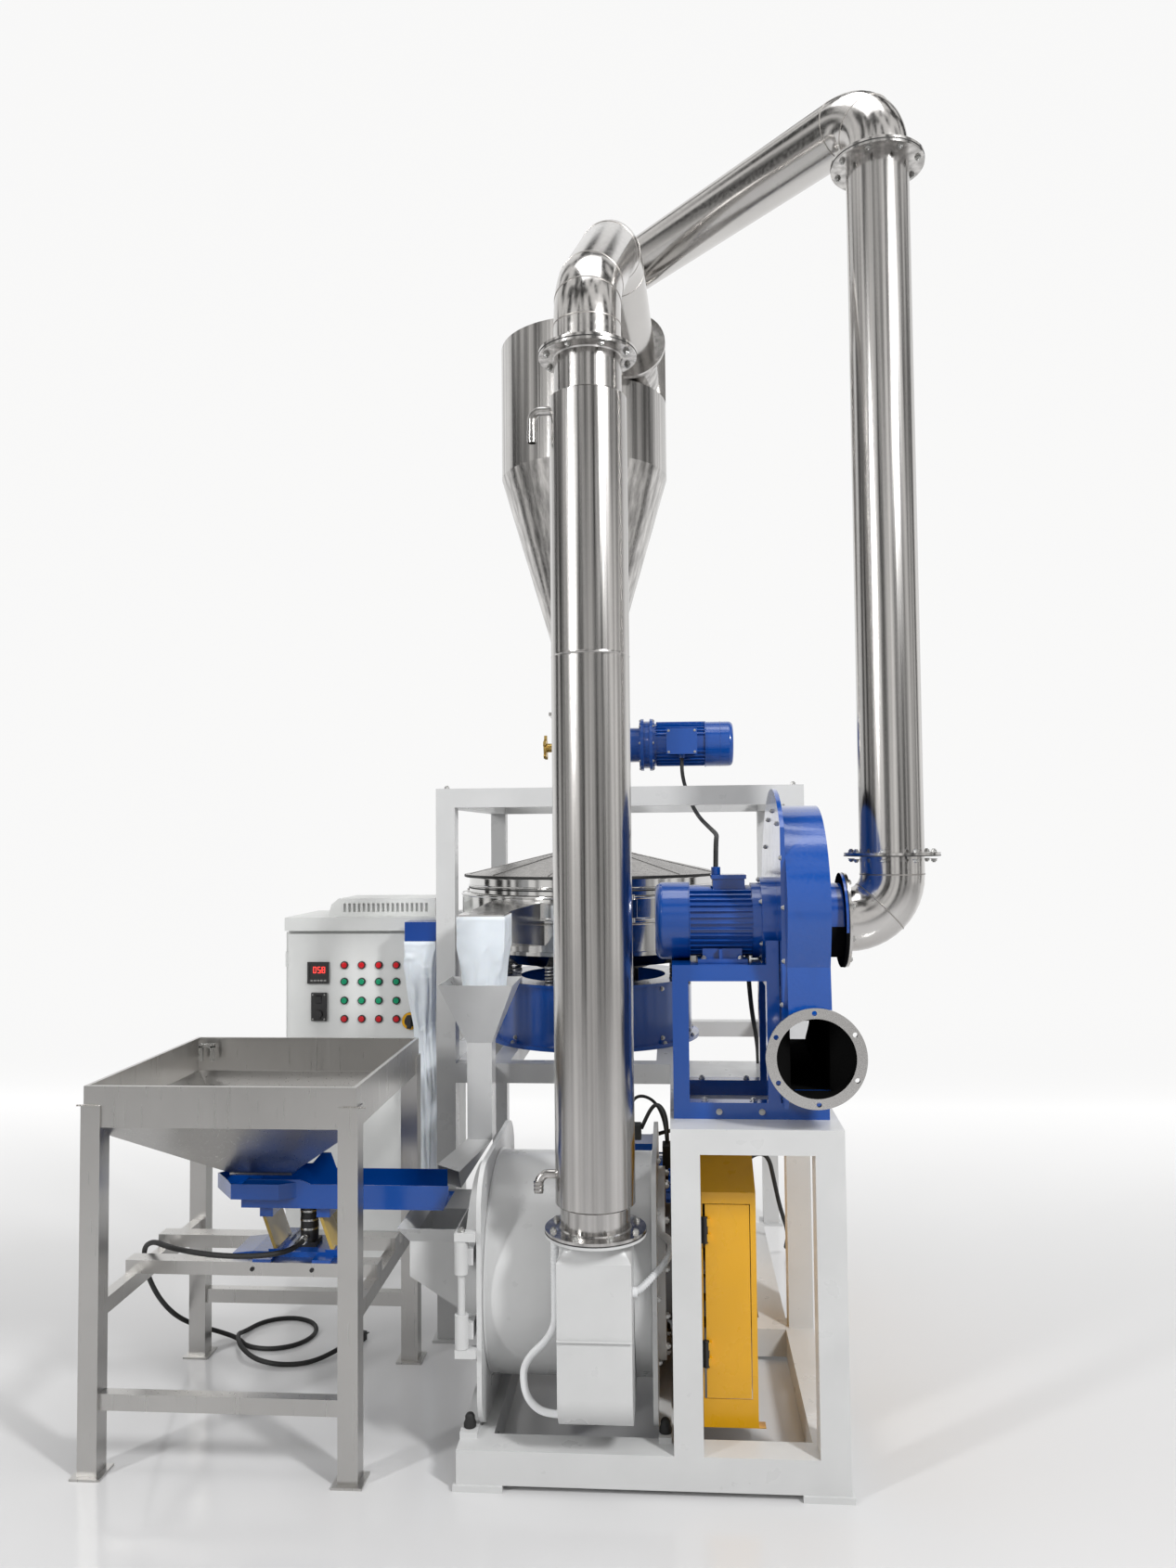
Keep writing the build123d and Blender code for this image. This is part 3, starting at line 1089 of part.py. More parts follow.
# Rotary valve body with flanges and outlet spigot
with BuildPart() as rotary_valve:
    rod((valve_x0, cyc_y, valve_z), (1, 0, 0), valve_r, valve_x1 - valve_x0)
    block(valve_x0, valve_x1, cyc_y - 75, cyc_y + 75, valve_low, neck_low)
    block(cyc_x - valve_flange / 2, cyc_x + valve_flange / 2, cyc_y - valve_flange / 2, cyc_y + valve_flange / 2,
          neck_low - 12, neck_low)
    block(cyc_x - valve_flange / 2, cyc_x + valve_flange / 2, cyc_y - valve_flange / 2, cyc_y + valve_flange / 2,
          ss_top, valve_low)
    rod((cyc_x, cyc_y, spigot_low), (0, 0, 1), valve_spigot_r, ss_top - spigot_low + 5)
    rod((valve_x1, cyc_y, valve_z), (1, 0, 0), 60, gear_x0 - valve_x1)
    rod((valve_x0, cyc_y, valve_z), (-1, 0, 0), 60, 20)
    rod((valve_x0 + 10, cyc_y, valve_z), (1, 0, 0), valve_r - 10, valve_x1 - valve_x0 - 20, Mode.SUBTRACT)
    block(valve_x0 + 25, valve_x1 - 25, cyc_y - 50, cyc_y + 50, valve_low + 5, neck_low + 1, Mode.SUBTRACT)
    rod((cyc_x, cyc_y, spigot_low - 1), (0, 0, 1), valve_spigot_r - sheet, 300, Mode.SUBTRACT)
    rod((valve_x0 - 40, cyc_y, valve_z), (1, 0, 0), 16 + 0.06, 300, Mode.SUBTRACT)
save(rotary_valve, "rotary_valve")

# Valve rotor: vanes, shaft and the hand knob on its free end
with BuildPart() as valve_rotor:
    rod((knob_x, cyc_y, valve_z), (1, 0, 0), 16, gear_x0 - knob_x - 12)
    rod((valve_x0 + 12, cyc_y, valve_z), (1, 0, 0), 40, valve_x1 - valve_x0 - 24)
    for vane in range(6):
        with Locations(Location(((valve_x0 + valve_x1) / 2, cyc_y, valve_z), (vane * 60 + 15, 0, 0))):
            with Locations((0, 0, 65)):
                Box(valve_x1 - valve_x0 - 24, 5, 60)
    rod((knob_x, cyc_y, valve_z), (1, 0, 0), knob_r * 0.72, 10)
    for lobe in range(5):
        with Locations(Location((knob_x + 5, cyc_y, valve_z), (lobe * 72, 0, 0))):
            with Locations((0, 0, knob_r * 0.66)):
                Box(10, 16, knob_r * 0.66)
save(valve_rotor, "valve_rotor")

# Gear motor of the valve: gearbox, flange, body, cowl and terminal box
with BuildPart() as valve_gearmotor:
    rod((gear_x0, cyc_y, valve_z + 6), (1, 0, 0), 62, 50)
    rod((gear_x0 + 50, cyc_y, valve_z + 6), (1, 0, 0), gear_r + 5, 54)
    rod((gear_x0 + 104, cyc_y, valve_z + 6), (1, 0, 0), gear_r - 6, 180)
    rod((gear_x0 + 284, cyc_y, valve_z + 6), (1, 0, 0), gear_r, gear_x1 - gear_x0 - 284)
    fillet(valve_gearmotor.faces().sort_by(Axis.X)[-1].edges(), 16)
    block(gear_x0 + 150, gear_x0 + 250, cyc_y - gear_r - 34, cyc_y, valve_z - 34, valve_z + 50)
    rod((gear_x0 - 1, cyc_y, valve_z), (1, 0, 0), 18, 20, Mode.SUBTRACT)
save(valve_gearmotor, "valve_gearmotor")

# Return funnel on its bracket from the sieve stand
pipe_half = funnel_pipe / 2
with BuildPart() as return_funnel:
    wedge((funnel_x, funnel_y, funnel_pipe, funnel_pipe), funnel_low,
          (funnel_x, funnel_y, funnel_w, funnel_w), funnel_top)
    wedge((funnel_x, funnel_y, funnel_pipe - 2 * sheet, funnel_pipe - 2 * sheet), funnel_low - 0.01,
          (funnel_x, funnel_y, funnel_w - 2 * sheet, funnel_w - 2 * sheet), funnel_top + 0.01, Mode.SUBTRACT)
save(return_funnel, "return_funnel")

# Return chute: square pipe with its bracket, then a slope down over the feed inlet
slope = Vector(chute_x - funnel_x, chute_y - funnel_y, chute_z - chute_bend).normalized()
chute_end = Plane(origin=(chute_x, chute_y, chute_z), x_dir=(1, 0, 0), z_dir=tuple(-slope))


def sloped_pipe(width, past, mode=Mode.ADD):
    with BuildSketch(Plane.XY.offset(chute_bend)) as upper:
        with Locations((funnel_x, funnel_y)):
            Rectangle(width, width)
    with BuildSketch(chute_end.offset(-past)) as lower:
        Rectangle(width, width - 14)
    loft([upper.sketch.face(), lower.sketch.face()], ruled=True, mode=mode)


with BuildPart() as return_chute:
    block(funnel_x - pipe_half, funnel_x + pipe_half, funnel_y - pipe_half, funnel_y + pipe_half,
          chute_bend, funnel_low)
    sloped_pipe(funnel_pipe, 0)
    block(funnel_x - pipe_half + sheet, funnel_x + pipe_half - sheet, funnel_y - pipe_half + sheet,
          funnel_y + pipe_half - sheet, chute_bend - 0.01, funnel_low + 0.01, Mode.SUBTRACT)
    sloped_pipe(funnel_pipe - 2 * sheet, 0.01, Mode.SUBTRACT)
    block(funnel_x - 20, funnel_x + 20, funnel_y + pipe_half, ss_y0, ss_deck - 50, ss_deck - 10)
save(return_chute, "return_chute")

# Fabric sleeve on the product spout, gathered towards its foot
with BuildPart() as product_sleeve:
    top_mid = product_x + neck_l / 2
    bulge_x = product_x + 47
    gather_x = product_x + 64
    foot_x = product_x + 72
    low, mid, bulge, collar = 345.0, 880.0, 1110.0, product_z - neck_h
    neck_in = (neck_l + 2 * run_gap, spout_w + 2 * run_gap)
    neck_out = (neck_in[0] + 2 * sheet, neck_in[1] + 2 * sheet)
    wedge((foot_x, sieve_y, 60.0, 60.0), low, (gather_x, sieve_y, 74.0, 80.0), mid)
    wedge((gather_x, sieve_y, 74.0, 80.0), mid, (bulge_x, sieve_y, 118.0, 108.0), bulge)
    wedge((bulge_x, sieve_y, 118.0, 108.0), bulge, (top_mid, sieve_y, *neck_out), collar)
    wedge((top_mid, sieve_y, *neck_out), collar, (top_mid, sieve_y, *neck_out), product_z - 1)
    wedge((foot_x, sieve_y, 54.0, 54.0), low - 0.1, (gather_x, sieve_y, 68.0, 74.0), mid, Mode.SUBTRACT)
    wedge((gather_x, sieve_y, 68.0, 74.0), mid, (bulge_x, sieve_y, 112.0, 102.0), bulge, Mode.SUBTRACT)
    wedge((bulge_x, sieve_y, 112.0, 102.0), bulge, (top_mid, sieve_y, *neck_in), collar, Mode.SUBTRACT)
    wedge((top_mid, sieve_y, *neck_in), collar, (top_mid, sieve_y, *neck_in), product_z, Mode.SUBTRACT)
save(product_sleeve, "product_sleeve")

# Fabric sleeve from the oversize spout down into the funnel
with BuildPart() as return_sleeve:
    sleeve_in = hood_half + run_gap
    sleeve_out = sleeve_in + sheet
    wedge((return_x, return_y, 2 * sleeve_out - 12, 2 * sleeve_out - 12), 1092.0,
          (return_x, return_y, 2 * sleeve_out, 2 * sleeve_out), return_z)
    block(return_x - sleeve_out, return_x + sleeve_out, return_y - sleeve_out, return_y + sleeve_out,
          return_z, return_top - 4)
    wedge((return_x, return_y, 2 * sleeve_in - 12, 2 * sleeve_in - 12), 1091.9,
          (return_x, return_y, 2 * sleeve_in, 2 * sleeve_in), return_z + 0.1, Mode.SUBTRACT)
    block(return_x - sleeve_in, return_x + sleeve_in, return_y - sleeve_in, return_y + sleeve_in,
          return_z, return_top, Mode.SUBTRACT)
    block(return_x - sleeve_out - 1, return_x + sleeve_out + 1, return_y + sleeve_in - 6, return_y + sleeve_out + 5,
          return_z - 8, return_top, Mode.SUBTRACT)
save(return_sleeve, "return_sleeve")

# Belt guard: folded case open to its left side, with feet
gh = guard_t
guard_profile = [(guard_front, guard_foot), (guard_back, guard_foot), (guard_back, guard_low - 60),
                 (guard_back - 150, guard_high), (guard_front + 190, guard_high), (guard_front, guard_low)]
guard_inside = [(guard_front + gh, guard_foot - 1), (guard_back - gh, guard_foot - 1),
                (guard_back - gh, guard_low - 60 - gh), (guard_back - 150 - gh, guard_high - gh),
                (guard_front + 190 + gh, guard_high - gh), (guard_front + gh, guard_low - gh)]
leaf_x = guard_x0 + 8
leaf_y = guard_front - 5
leaf_z = (247.0, 549.0)
leaf_l = 57.0
with BuildPart() as belt_guard:
    profile_x(guard_profile, guard_x0, guard_x1)
    profile_x(guard_inside, guard_x0 + gh, guard_x1 - gh, Mode.SUBTRACT)
    rod((guard_x0 - 1, mill_y, mill_z), (1, 0, 0), shaft_r + 12, 10, Mode.SUBTRACT)
    rod((guard_x0 - 1, motor_y, motor_z), (1, 0, 0), 45, 10, Mode.SUBTRACT)
    block(guard_x0 - 1, guard_x1 - 14, guard_front - 1, guard_front + gh + 1, 164.0, 640.0, Mode.SUBTRACT)
    block(guard_x0, guard_x1 + 18, guard_front, guard_front + 30, beam_top, guard_foot)
    block(guard_x0, guard_x1 + 18, guard_back - 30, guard_back, beam_top, guard_foot)
    for hz in leaf_z:
        rod((leaf_x, leaf_y, hz), (0, 0, 1), hinge_pin, leaf_l)
        block(guard_x0 - gh, leaf_x, leaf_y - 3, leaf_y + 3, hz + leaf_l / 3, hz + leaf_l * 2 / 3)
        block(guard_x0 - gh, guard_x0, leaf_y - 3, guard_front + 40, hz + leaf_l / 3, hz + leaf_l * 2 / 3)
save(belt_guard, "belt_guard")

# Hinged front door of the belt guard, with two black hinges of its own
with BuildPart() as belt_guard_door:
    block(leaf_x + 1, guard_x1 - 16, guard_front, guard_front + gh, 166.0, 638.0)
    for hz in leaf_z:
        for low_z in (hz, hz + leaf_l * 2 / 3 + run_gap):
            knuckle = leaf_l / 3 - run_gap
            block(leaf_x, leaf_x + 14, leaf_y - 5, guard_front, low_z, low_z + knuckle)
            rod((leaf_x, leaf_y, low_z), (0, 0, 1), hinge_pin + 2, knuckle)
            rod((leaf_x, leaf_y, low_z), (0, 0, 1), hinge_pin + pin_gap, knuckle, Mode.SUBTRACT)
save(belt_guard_door, "belt_guard_door")

# Belts between the two pulleys
belt_way = Vector(0, motor_y - mill_y, motor_z - mill_z)
with BuildPart() as drive_belts:
    with BuildSketch(Plane(origin=(pulley_x + 10, 0, 0), x_dir=(0, 1, 0), z_dir=(1, 0, 0))) as loop:
        r1 = mill_pulley_r + 3
        r2 = motor_pulley_r + 3
        with Locations((mill_y, mill_z)):
            Circle(r1)
        with Locations((motor_y, motor_z)):
            Circle(r2)
        make_hull()
        with BuildSketch(Plane(origin=(pulley_x + 10, 0, 0), x_dir=(0, 1, 0), z_dir=(1, 0, 0)),
                         mode=Mode.PRIVATE) as loop_in:
            with Locations((mill_y, mill_z)):
                Circle(r1 - 9)
            with Locations((motor_y, motor_z)):
                Circle(r2 - 9)
            make_hull()
    for belt in range(4):
        shift = Location((belt * 17 + run_gap, 0, 0))
        belt_w = 13 - 2 * run_gap
        extrude(loop.sketch.moved(shift), amount=belt_w)
        extrude(loop_in.sketch.moved(shift), amount=belt_w, mode=Mode.SUBTRACT)
save(drive_belts, "drive_belts")

# Main motor behind the drum, on the base's cross beams
motor_x1 = guard_x0 - 14
motor_x0 = motor_x1 - motor_l
with BuildPart() as main_motor:
    rod((motor_x0, motor_y, motor_z), (1, 0, 0), motor_r + 8, 90)
    fillet(main_motor.faces().sort_by(Axis.X)[0].edges(), 24)
    rod((motor_x0 + 90, motor_y, motor_z), (1, 0, 0), motor_r, 220)
    rod((motor_x0 + 310, motor_y, motor_z), (1, 0, 0), motor_r + 6, motor_l - 310)
    for fy in (motor_y - 150, motor_y + 100):
        block(motor_x0 + 110, motor_x0 + 300, fy, fy + 50, beam_top, motor_z - 80)
    block(motor_x0 + 130, motor_x0 + 270, motor_y - 60, motor_y + 60, motor_z + 120, motor_z + motor_r + 55)
    rod((motor_x1 - 40, motor_y, motor_z), (1, 0, 0), 24 + 0.06, 60, Mode.SUBTRACT)
    for fx in (motor_x0 + 100, motor_x0 + 250):
        block(fx, fx + 60, motor_y - 260, motor_y + 260, beam_top, beam_top + 12)
save(main_motor, "main_motor")

# Motor pulley on its shaft
with BuildPart() as motor_pulley:
    rod((motor_x1 - 36, motor_y, motor_z), (1, 0, 0), 24, pulley_x + pulley_w - motor_x1 + 36)
    rod((pulley_x, motor_y, motor_z), (1, 0, 0), motor_pulley_r, pulley_w)
    for groove in range(4):
        groove_x = pulley_x + 10 + groove * 17
        pipe((groove_x, motor_y, motor_z), (1, 0, 0), motor_pulley_r + 1, motor_pulley_r - belt_t, 13, Mode.SUBTRACT)
save(motor_pulley, "motor_pulley")

# Cooling hose looped at the left of the discharge duct
hose_x = dx0 - hose_d / 2 - 5
left_points = [
    (hose_x, -927.0, riser_low - flange_t), (hose_x, -927.0, 530.0), (hose_x + 1, -931.0, 445.0),
    (hose_x, -934.0, 359.0), (dx0 - 90, -940.0, 296.0), (dx0 - 90, -944.0, 232.0),
    (dx0 - 70, -948.0, 197.0), (dx0 - 36, -950.0, 177.0), (dx0, -950.0, 177.0)]
print("left hose radii", turns(left_points))
with BuildPart() as cooling_hose_left:
    round_run(left_points, turns(left_points), hose_d / 2)
save(cooling_hose_left, "cooling_hose_left")
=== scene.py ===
import bmesh
import bpy
from math import cos, pi, radians, sin
from mathutils import Matrix, Vector, noise


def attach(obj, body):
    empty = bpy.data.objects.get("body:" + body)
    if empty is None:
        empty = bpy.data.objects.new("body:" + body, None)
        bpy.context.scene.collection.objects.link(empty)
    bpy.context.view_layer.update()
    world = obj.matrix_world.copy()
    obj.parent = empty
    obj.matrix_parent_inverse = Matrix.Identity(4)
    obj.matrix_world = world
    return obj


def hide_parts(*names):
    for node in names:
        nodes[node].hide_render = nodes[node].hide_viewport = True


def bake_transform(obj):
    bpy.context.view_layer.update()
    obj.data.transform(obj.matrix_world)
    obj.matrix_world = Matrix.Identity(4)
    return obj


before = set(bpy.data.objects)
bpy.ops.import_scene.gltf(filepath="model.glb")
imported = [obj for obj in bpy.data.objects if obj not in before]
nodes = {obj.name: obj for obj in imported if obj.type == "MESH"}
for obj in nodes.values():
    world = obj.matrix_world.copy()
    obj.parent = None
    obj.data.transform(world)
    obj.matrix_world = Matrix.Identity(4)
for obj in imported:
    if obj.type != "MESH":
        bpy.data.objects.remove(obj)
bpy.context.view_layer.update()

# Directions
up, down = (0, 0, 1), (0, 0, -1)
to_right, to_left, to_front = (1, 0, 0), (-1, 0, 0), (0, -1, 0)


def above(axis, height):
    """The point of an upright axis at a height."""
    return Vector((axis.x, axis.y, height))


def beside(axis, x):
    """The point at x of an axis that lies along X."""
    return Vector((x, axis.y, axis.z))


def spoke(angle):
    return Vector((cos(angle), sin(angle), 0.0))


# Layout in metres, as in the solids
riser = Vector((0.202, -0.917, 0.0))
riser_low, riser_high = 0.613, 2.755
riser_r, jacket_r, flange_r = 0.084, 0.0965, 0.122
jacket_low, jacket_high, jacket_seam = 0.676, 2.648, 1.997
flange_t = 0.008
duct_wall = 0.003
crown_route = [above(riser, riser_high), above(riser, 2.915), Vector((0.240, -0.348, 3.338)),
               Vector((0.274, 0.150, 3.244))]
crown_bends = [0.170, 0.300]
cyclone_axis = Vector((0.095, 0.405, 0.0))
air_r = 0.082
air_flange_z = 3.343
fan_riser = Vector((0.966, -0.685, 0.0))
fan_riser_low = 1.502
fan_axis = Vector((0.0, -0.685, 1.336))
air_route = [above(cyclone_axis, air_flange_z), above(cyclone_axis, 3.528), above(fan_riser, 3.502),
             above(fan_riser, air_flange_z)]
air_bends = [0.130, 0.130]
elbow_route = [above(fan_riser, fan_riser_low), above(fan_riser, fan_axis.z), beside(fan_axis, 0.837)]
elbow_bend = 0.118
outlet_z = 1.033
mill_axis = Vector((0.0, -0.580, 0.420))
motor_axis = Vector((0.0, 0.128, 0.335))
sieve_axis = Vector((0.110, 0.405, 0.0))
gear_motor_axis = Vector((0.0, 0.405, 1.886))

# Camera, worked out from the photograph
camera_at = Vector((0.395, -3.695, 1.560))
camera_yaw, camera_pitch, camera_roll = radians(4.15), radians(2.61), radians(-0.53)


# Node tools
def feed(tree, node, inputs):
    """Set inputs of a node: a socket is linked, and anything else is a constant."""
    for key, given in inputs.items():
        if isinstance(given, bpy.types.NodeSocket):
            tree.links.new(given, node.inputs[key])
        else:
            node.inputs[key].default_value = given


def add(tree, kind, inputs, **settings):
    node = tree.nodes.new(kind)
    for key, value in settings.items():
        setattr(node, key, value)
    feed(tree, node, inputs)
    return node


def math(tree, operation, first, second):
    return add(tree, "ShaderNodeMath", {0: first, 1: second}, operation=operation).outputs["Value"]


def vector_math(tree, operation, first, second, result="Vector"):
    return add(tree, "ShaderNodeVectorMath", {0: first, 1: second}, operation=operation).outputs[result]


def remap(tree, value, old, new=(0.0, 1.0), **settings):
    """A value carried over from one range to another."""
    return add(tree, "ShaderNodeMapRange", {"Value": value, "From Min": old[0], "From Max": old[1],
                                            "To Min": new[0], "To Max": new[1]}, **settings).outputs["Result"]


def mixed(tree, factor, first, second, blend="MIX"):
    return add(tree, "ShaderNodeMix", {"Factor": factor, "A": first, "B": second},
               data_type="RGBA", blend_type=blend).outputs["Result"]


def dented(tree, height, strength, distance, **more):
    return add(tree, "ShaderNodeBump", {"Height": height, "Strength": strength, "Distance": distance,
                                        **more}).outputs["Normal"]


def tree_of(material):
    material.use_nodes = True
    return material.node_tree, material.node_tree.nodes["Principled BSDF"]


def place_on(tree):
    """The place on the piece, in its own coordinates."""
    return tree.nodes.new("ShaderNodeTexCoord").outputs["Object"]


def place_along(tree, axis):
    return add(tree, "ShaderNodeSeparateXYZ", {"Vector": place_on(tree)}).outputs[axis]


def group_with(name, inputs, outputs):
    """An empty shader group, with inputs as {name: default or None} and outputs as {name: kind}."""
    group = bpy.data.node_groups.new(name, "ShaderNodeTree")
    for socket, value in inputs.items():
        kind = "NodeSocketFloat" if isinstance(value, float) else "NodeSocketVector"
        made = group.interface.new_socket(name=socket, in_out="INPUT", socket_type=kind)
        if value is not None:
            made.default_value = value
    for socket, kind in outputs.items():
        group.interface.new_socket(name=socket, in_out="OUTPUT", socket_type=kind)
    return group, group.nodes.new("NodeGroupInput").outputs, group.nodes.new("NodeGroupOutput")


def spread_out(group, given, source):
    """The middle of a noise's range, spread from Low to High."""
    return remap(group, source.outputs["Fac"], (0.3, 0.7), (given["Low"], given["High"]))


def mottle_group():
    """Slow and fine spots for colour and roughness."""
    group, given, end = group_with("mottle", {"Vector": None, "Scale": 8.0, "Low": 0.9, "High": 1.05},
                                   {"Value": "NodeSocketFloat"})
    spots = add(group, "ShaderNodeTexNoise",
                {"Vector": given["Vector"], "Scale": given["Scale"], "Detail": 5.0})
    feed(group, end, {"Value": spread_out(group, given, spots)})
    return group


def streak_group():
    """Long fine lines left by rolling and brushing, along one direction."""
    group, given, end = group_with(
        "streaks", {"Vector": None, "Stretch": (300.0, 300.0, 4.0), "Low": 0.2, "High": 0.4},
        {"Value": "NodeSocketFloat", "Height": "NodeSocketFloat"})
    along = vector_math(group, "MULTIPLY", given["Vector"], given["Stretch"])
    lines = add(group, "ShaderNodeTexNoise", {"Vector": along, "Scale": 1.0, "Detail": 3.0})
    feed(group, end, {"Value": spread_out(group, given, lines), "Height": lines.outputs["Fac"]})
    return group


def peel_group():
    """The low ripple of sprayed paint or moulded plastic, as a normal."""
    group, given, end = group_with("peel", {"Vector": None, "Scale": 260.0, "Strength": 0.1},
                                   {"Normal": "NodeSocketVector"})
    ripple = add(group, "ShaderNodeTexNoise",
                 {"Vector": given["Vector"], "Scale": given["Scale"], "Detail": 2.0})
    feed(group, end, {"Normal": dented(group, ripple.outputs["Fac"], given["Strength"], 0.0006)})
    return group


mottle, streaks, peel = mottle_group(), streak_group(), peel_group()


def placed(tree, group, where, **values):
    """The outputs of a group that is fed with the place on the piece."""
    node = tree.nodes.new("ShaderNodeGroup")
    node.node_tree = group
    feed(tree, node, {"Vector": where, **values})
    return node.outputs


def tinted(tree, colour, mask):
    """A colour multiplied by a mask of about one."""
    return mixed(tree, 1.0, (*colour, 1.0), mask, "MULTIPLY")


def paint(name, colour, roughness, coat=0.0, ripple=0.08, ripple_scale=260.0, spots=(0.94, 1.04)):
    """Sprayed paint with slow colour change, uneven gloss and a low ripple."""
    material = bpy.data.materials.new(name)
    tree, shader = tree_of(material)
    where = place_on(tree)
    shade = placed(tree, mottle, where, Scale=5.0, Low=spots[0], High=spots[1])
    gloss = placed(tree, mottle, where, Scale=14.0, Low=roughness * 0.8, High=roughness * 1.25)
    skin = placed(tree, peel, where, Scale=ripple_scale, Strength=ripple)
    feed(tree, shader, {"Base Color": tinted(tree, colour, shade["Value"]), "Roughness": gloss["Value"],
                        "Normal": skin["Normal"], "Coat Weight": coat, "Coat Roughness": 0.08})
    return material


def bare_metal(name, colour, low, high, stretch, bump=0.02, reflection_bands=None):
    """Rolled or turned metal with fine lines in its gloss and, on drawn tube, broad light and dark bands
    painted into its colour as painted reflections.
    """
    material = bpy.data.materials.new(name)
    tree, shader = tree_of(material)
    where = place_on(tree)
    shade = placed(tree, mottle, where, Scale=3.0, Low=0.93, High=1.05)["Value"]
    lines = placed(tree, streaks, where, Stretch=stretch, Low=low, High=high)
    # Painted reflection: broad light and dark bands multiplied into the base colour.
    if reflection_bands:
        painted_reflection = placed(tree, streaks, where, Stretch=reflection_bands[0], Low=reflection_bands[1], High=reflection_bands[2])
        shade = math(tree, "MULTIPLY", shade, painted_reflection["Value"])
    feed(tree, shader, {"Base Color": tinted(tree, colour, shade), "Roughness": lines["Value"],
                        "Normal": dented(tree, lines["Height"], bump, 0.0005), "Metallic": 1.0})
    return material


def plastic(name, colour, roughness, glow=0.0):
    material = paint(name, colour, roughness, ripple=0.05, ripple_scale=500.0)
    if glow:
        tree, shader = tree_of(material)
        feed(tree, shader, {"Emission Color": (*colour, 1.0), "Emission Strength": glow})
    return material


def cloth():
    """Thin white woven sleeve that lets some light through."""
    material = bpy.data.materials.new("sleeve_cloth")
    tree, shader = tree_of(material)
    where = place_on(tree)
    shade = placed(tree, mottle, where, Scale=9.0, Low=0.93, High=1.03)
    crease = add(tree, "ShaderNodeTexNoise", {"Vector": where, "Scale": 14.0, "Detail": 3.0, "Distortion": 0.8},
                 noise_type="RIDGED_MULTIFRACTAL")
    folds = dented(tree, crease.outputs["Fac"], 0.9, 0.012)
    weave = add(tree, "ShaderNodeTexWave", {"Vector": where, "Scale": 160.0, "Distortion": 0.6})
    feed(tree, shader, {"Base Color": tinted(tree, (0.86, 0.88, 0.91), shade["Value"]), "Roughness": 0.42,
                        "Normal": dented(tree, weave.outputs["Fac"], 0.15, 0.0004, Normal=folds),
                        "Sheen Weight": 0.2, "Subsurface Weight": 0.15})
    return material


even = (60.0, 60.0, 60.0)
finer = (90.0, 90.0, 90.0)
safety_blue = (0.001, 0.058, 0.300)
lamp_green = (0.005, 0.28, 0.13)
near_black = (0.006, 0.006, 0.006)
bare_sheet = (0.58, 0.575, 0.565)
feed_steel = bare_metal("feed_steel", (0.55, 0.54, 0.525), 0.27, 0.32, (160.0, 160.0, 4.0), 0.006)
# duct_steel carries painted reflection bands in its colour.
duct_steel = bare_metal("duct_steel", (0.62, 0.605, 0.59), 0.14, 0.26, (240.0, 240.0, 1.5),
                        reflection_bands=((42.0, 42.0, 0.35), 0.52, 1.12))
outlet_steel = bare_metal("outlet_steel", (0.55, 0.54, 0.53), 0.18, 0.3, (200.0, 6.0, 200.0))
sieve_steel = bare_metal("sieve_steel", (0.66, 0.655, 0.645), 0.07, 0.13, (6.0, 6.0, 400.0), 0.01)
cover_steel = bare_metal("cover_steel", (0.34, 0.325, 0.31), 0.22, 0.34, even)
bend_steel = bare_metal("bend_steel", (0.60, 0.585, 0.57), 0.13, 0.22, finer, 0.01)
turned_steel = bare_metal("turned_steel", (0.50, 0.50, 0.49), 0.20, 0.35, (500.0, 20.0, 20.0), 0.03)
zinc = bare_metal("zinc_bolts", (0.48, 0.48, 0.47), 0.28, 0.42, finer, 0.05)
seam_metal = bare_metal("weld_seam", (0.42, 0.40, 0.38), 0.35, 0.5, even, 0.25)
iron = bare_metal("cast_iron", (0.16, 0.16, 0.165), 0.4, 0.6, even, 0.15)
brass = bare_metal("brass", (0.55, 0.38, 0.12), 0.25, 0.4, (80.0, 80.0, 80.0), 0.05)
blue_paint = paint("blue_paint", safety_blue, 0.20, coat=0.45, ripple=0.16)
spout_finish = paint("spout_finish", (0.002, 0.050, 0.290), 0.16, ripple=0.04)
fan_paint = paint("fan_paint", safety_blue, 0.16, coat=0.6, ripple=0.9, ripple_scale=110.0)
pale_paint = paint("pale_paint", (0.575, 0.580, 0.580), 0.32, coat=0.1, ripple=0.06)
cabinet_paint = paint("cabinet_paint", (0.70, 0.71, 0.70), 0.45, ripple=0.25, ripple_scale=900.0)
yellow_paint = paint("yellow_paint", (0.80, 0.41, 0.006), 0.30, coat=0.3, ripple=0.10)
black_paint = paint("black_parts", (0.012, 0.012, 0.013), 0.35, ripple=0.05)
leaf_fibre = paint("glass_fibre", (0.40, 0.27, 0.05), 0.3, coat=0.3, ripple=0.25, ripple_scale=60.0,
                   spots=(0.5, 1.4))
black_plastic = plastic("black_plastic", (0.02, 0.02, 0.021), 0.45)
red_plastic = plastic("red_plastic", (0.55, 0.012, 0.02), 0.2)
red_lens = plastic("red_lens", (0.62, 0.012, 0.02), 0.15)
green_plastic = plastic("green_plastic", lamp_green, 0.2)
hose_white = plastic("hose_plastic", (0.78, 0.79, 0.80), 0.3)
red_glow = plastic("display_digits", (0.95, 0.05, 0.04), 0.4, glow=1.6)
rubber = plastic("rubber", (0.014, 0.014, 0.014), 0.6)
sleeve_cloth = cloth()


# Pieces in two colours, and painted shade on the inner faces of the fan throat and outlet
def below_height(level, soft=0.001):
    """A mask of one below a height."""
    def mask(tree):
        return remap(tree, place_along(tree, "Z"), (level - soft, level + soft), (1.0, 0.0))
    return mask


def beyond_x(edge):
    """A mask of one beyond a place along X."""
    def mask(tree):
        return math(tree, "GREATER_THAN", place_along(tree, "X"), edge)
    return mask


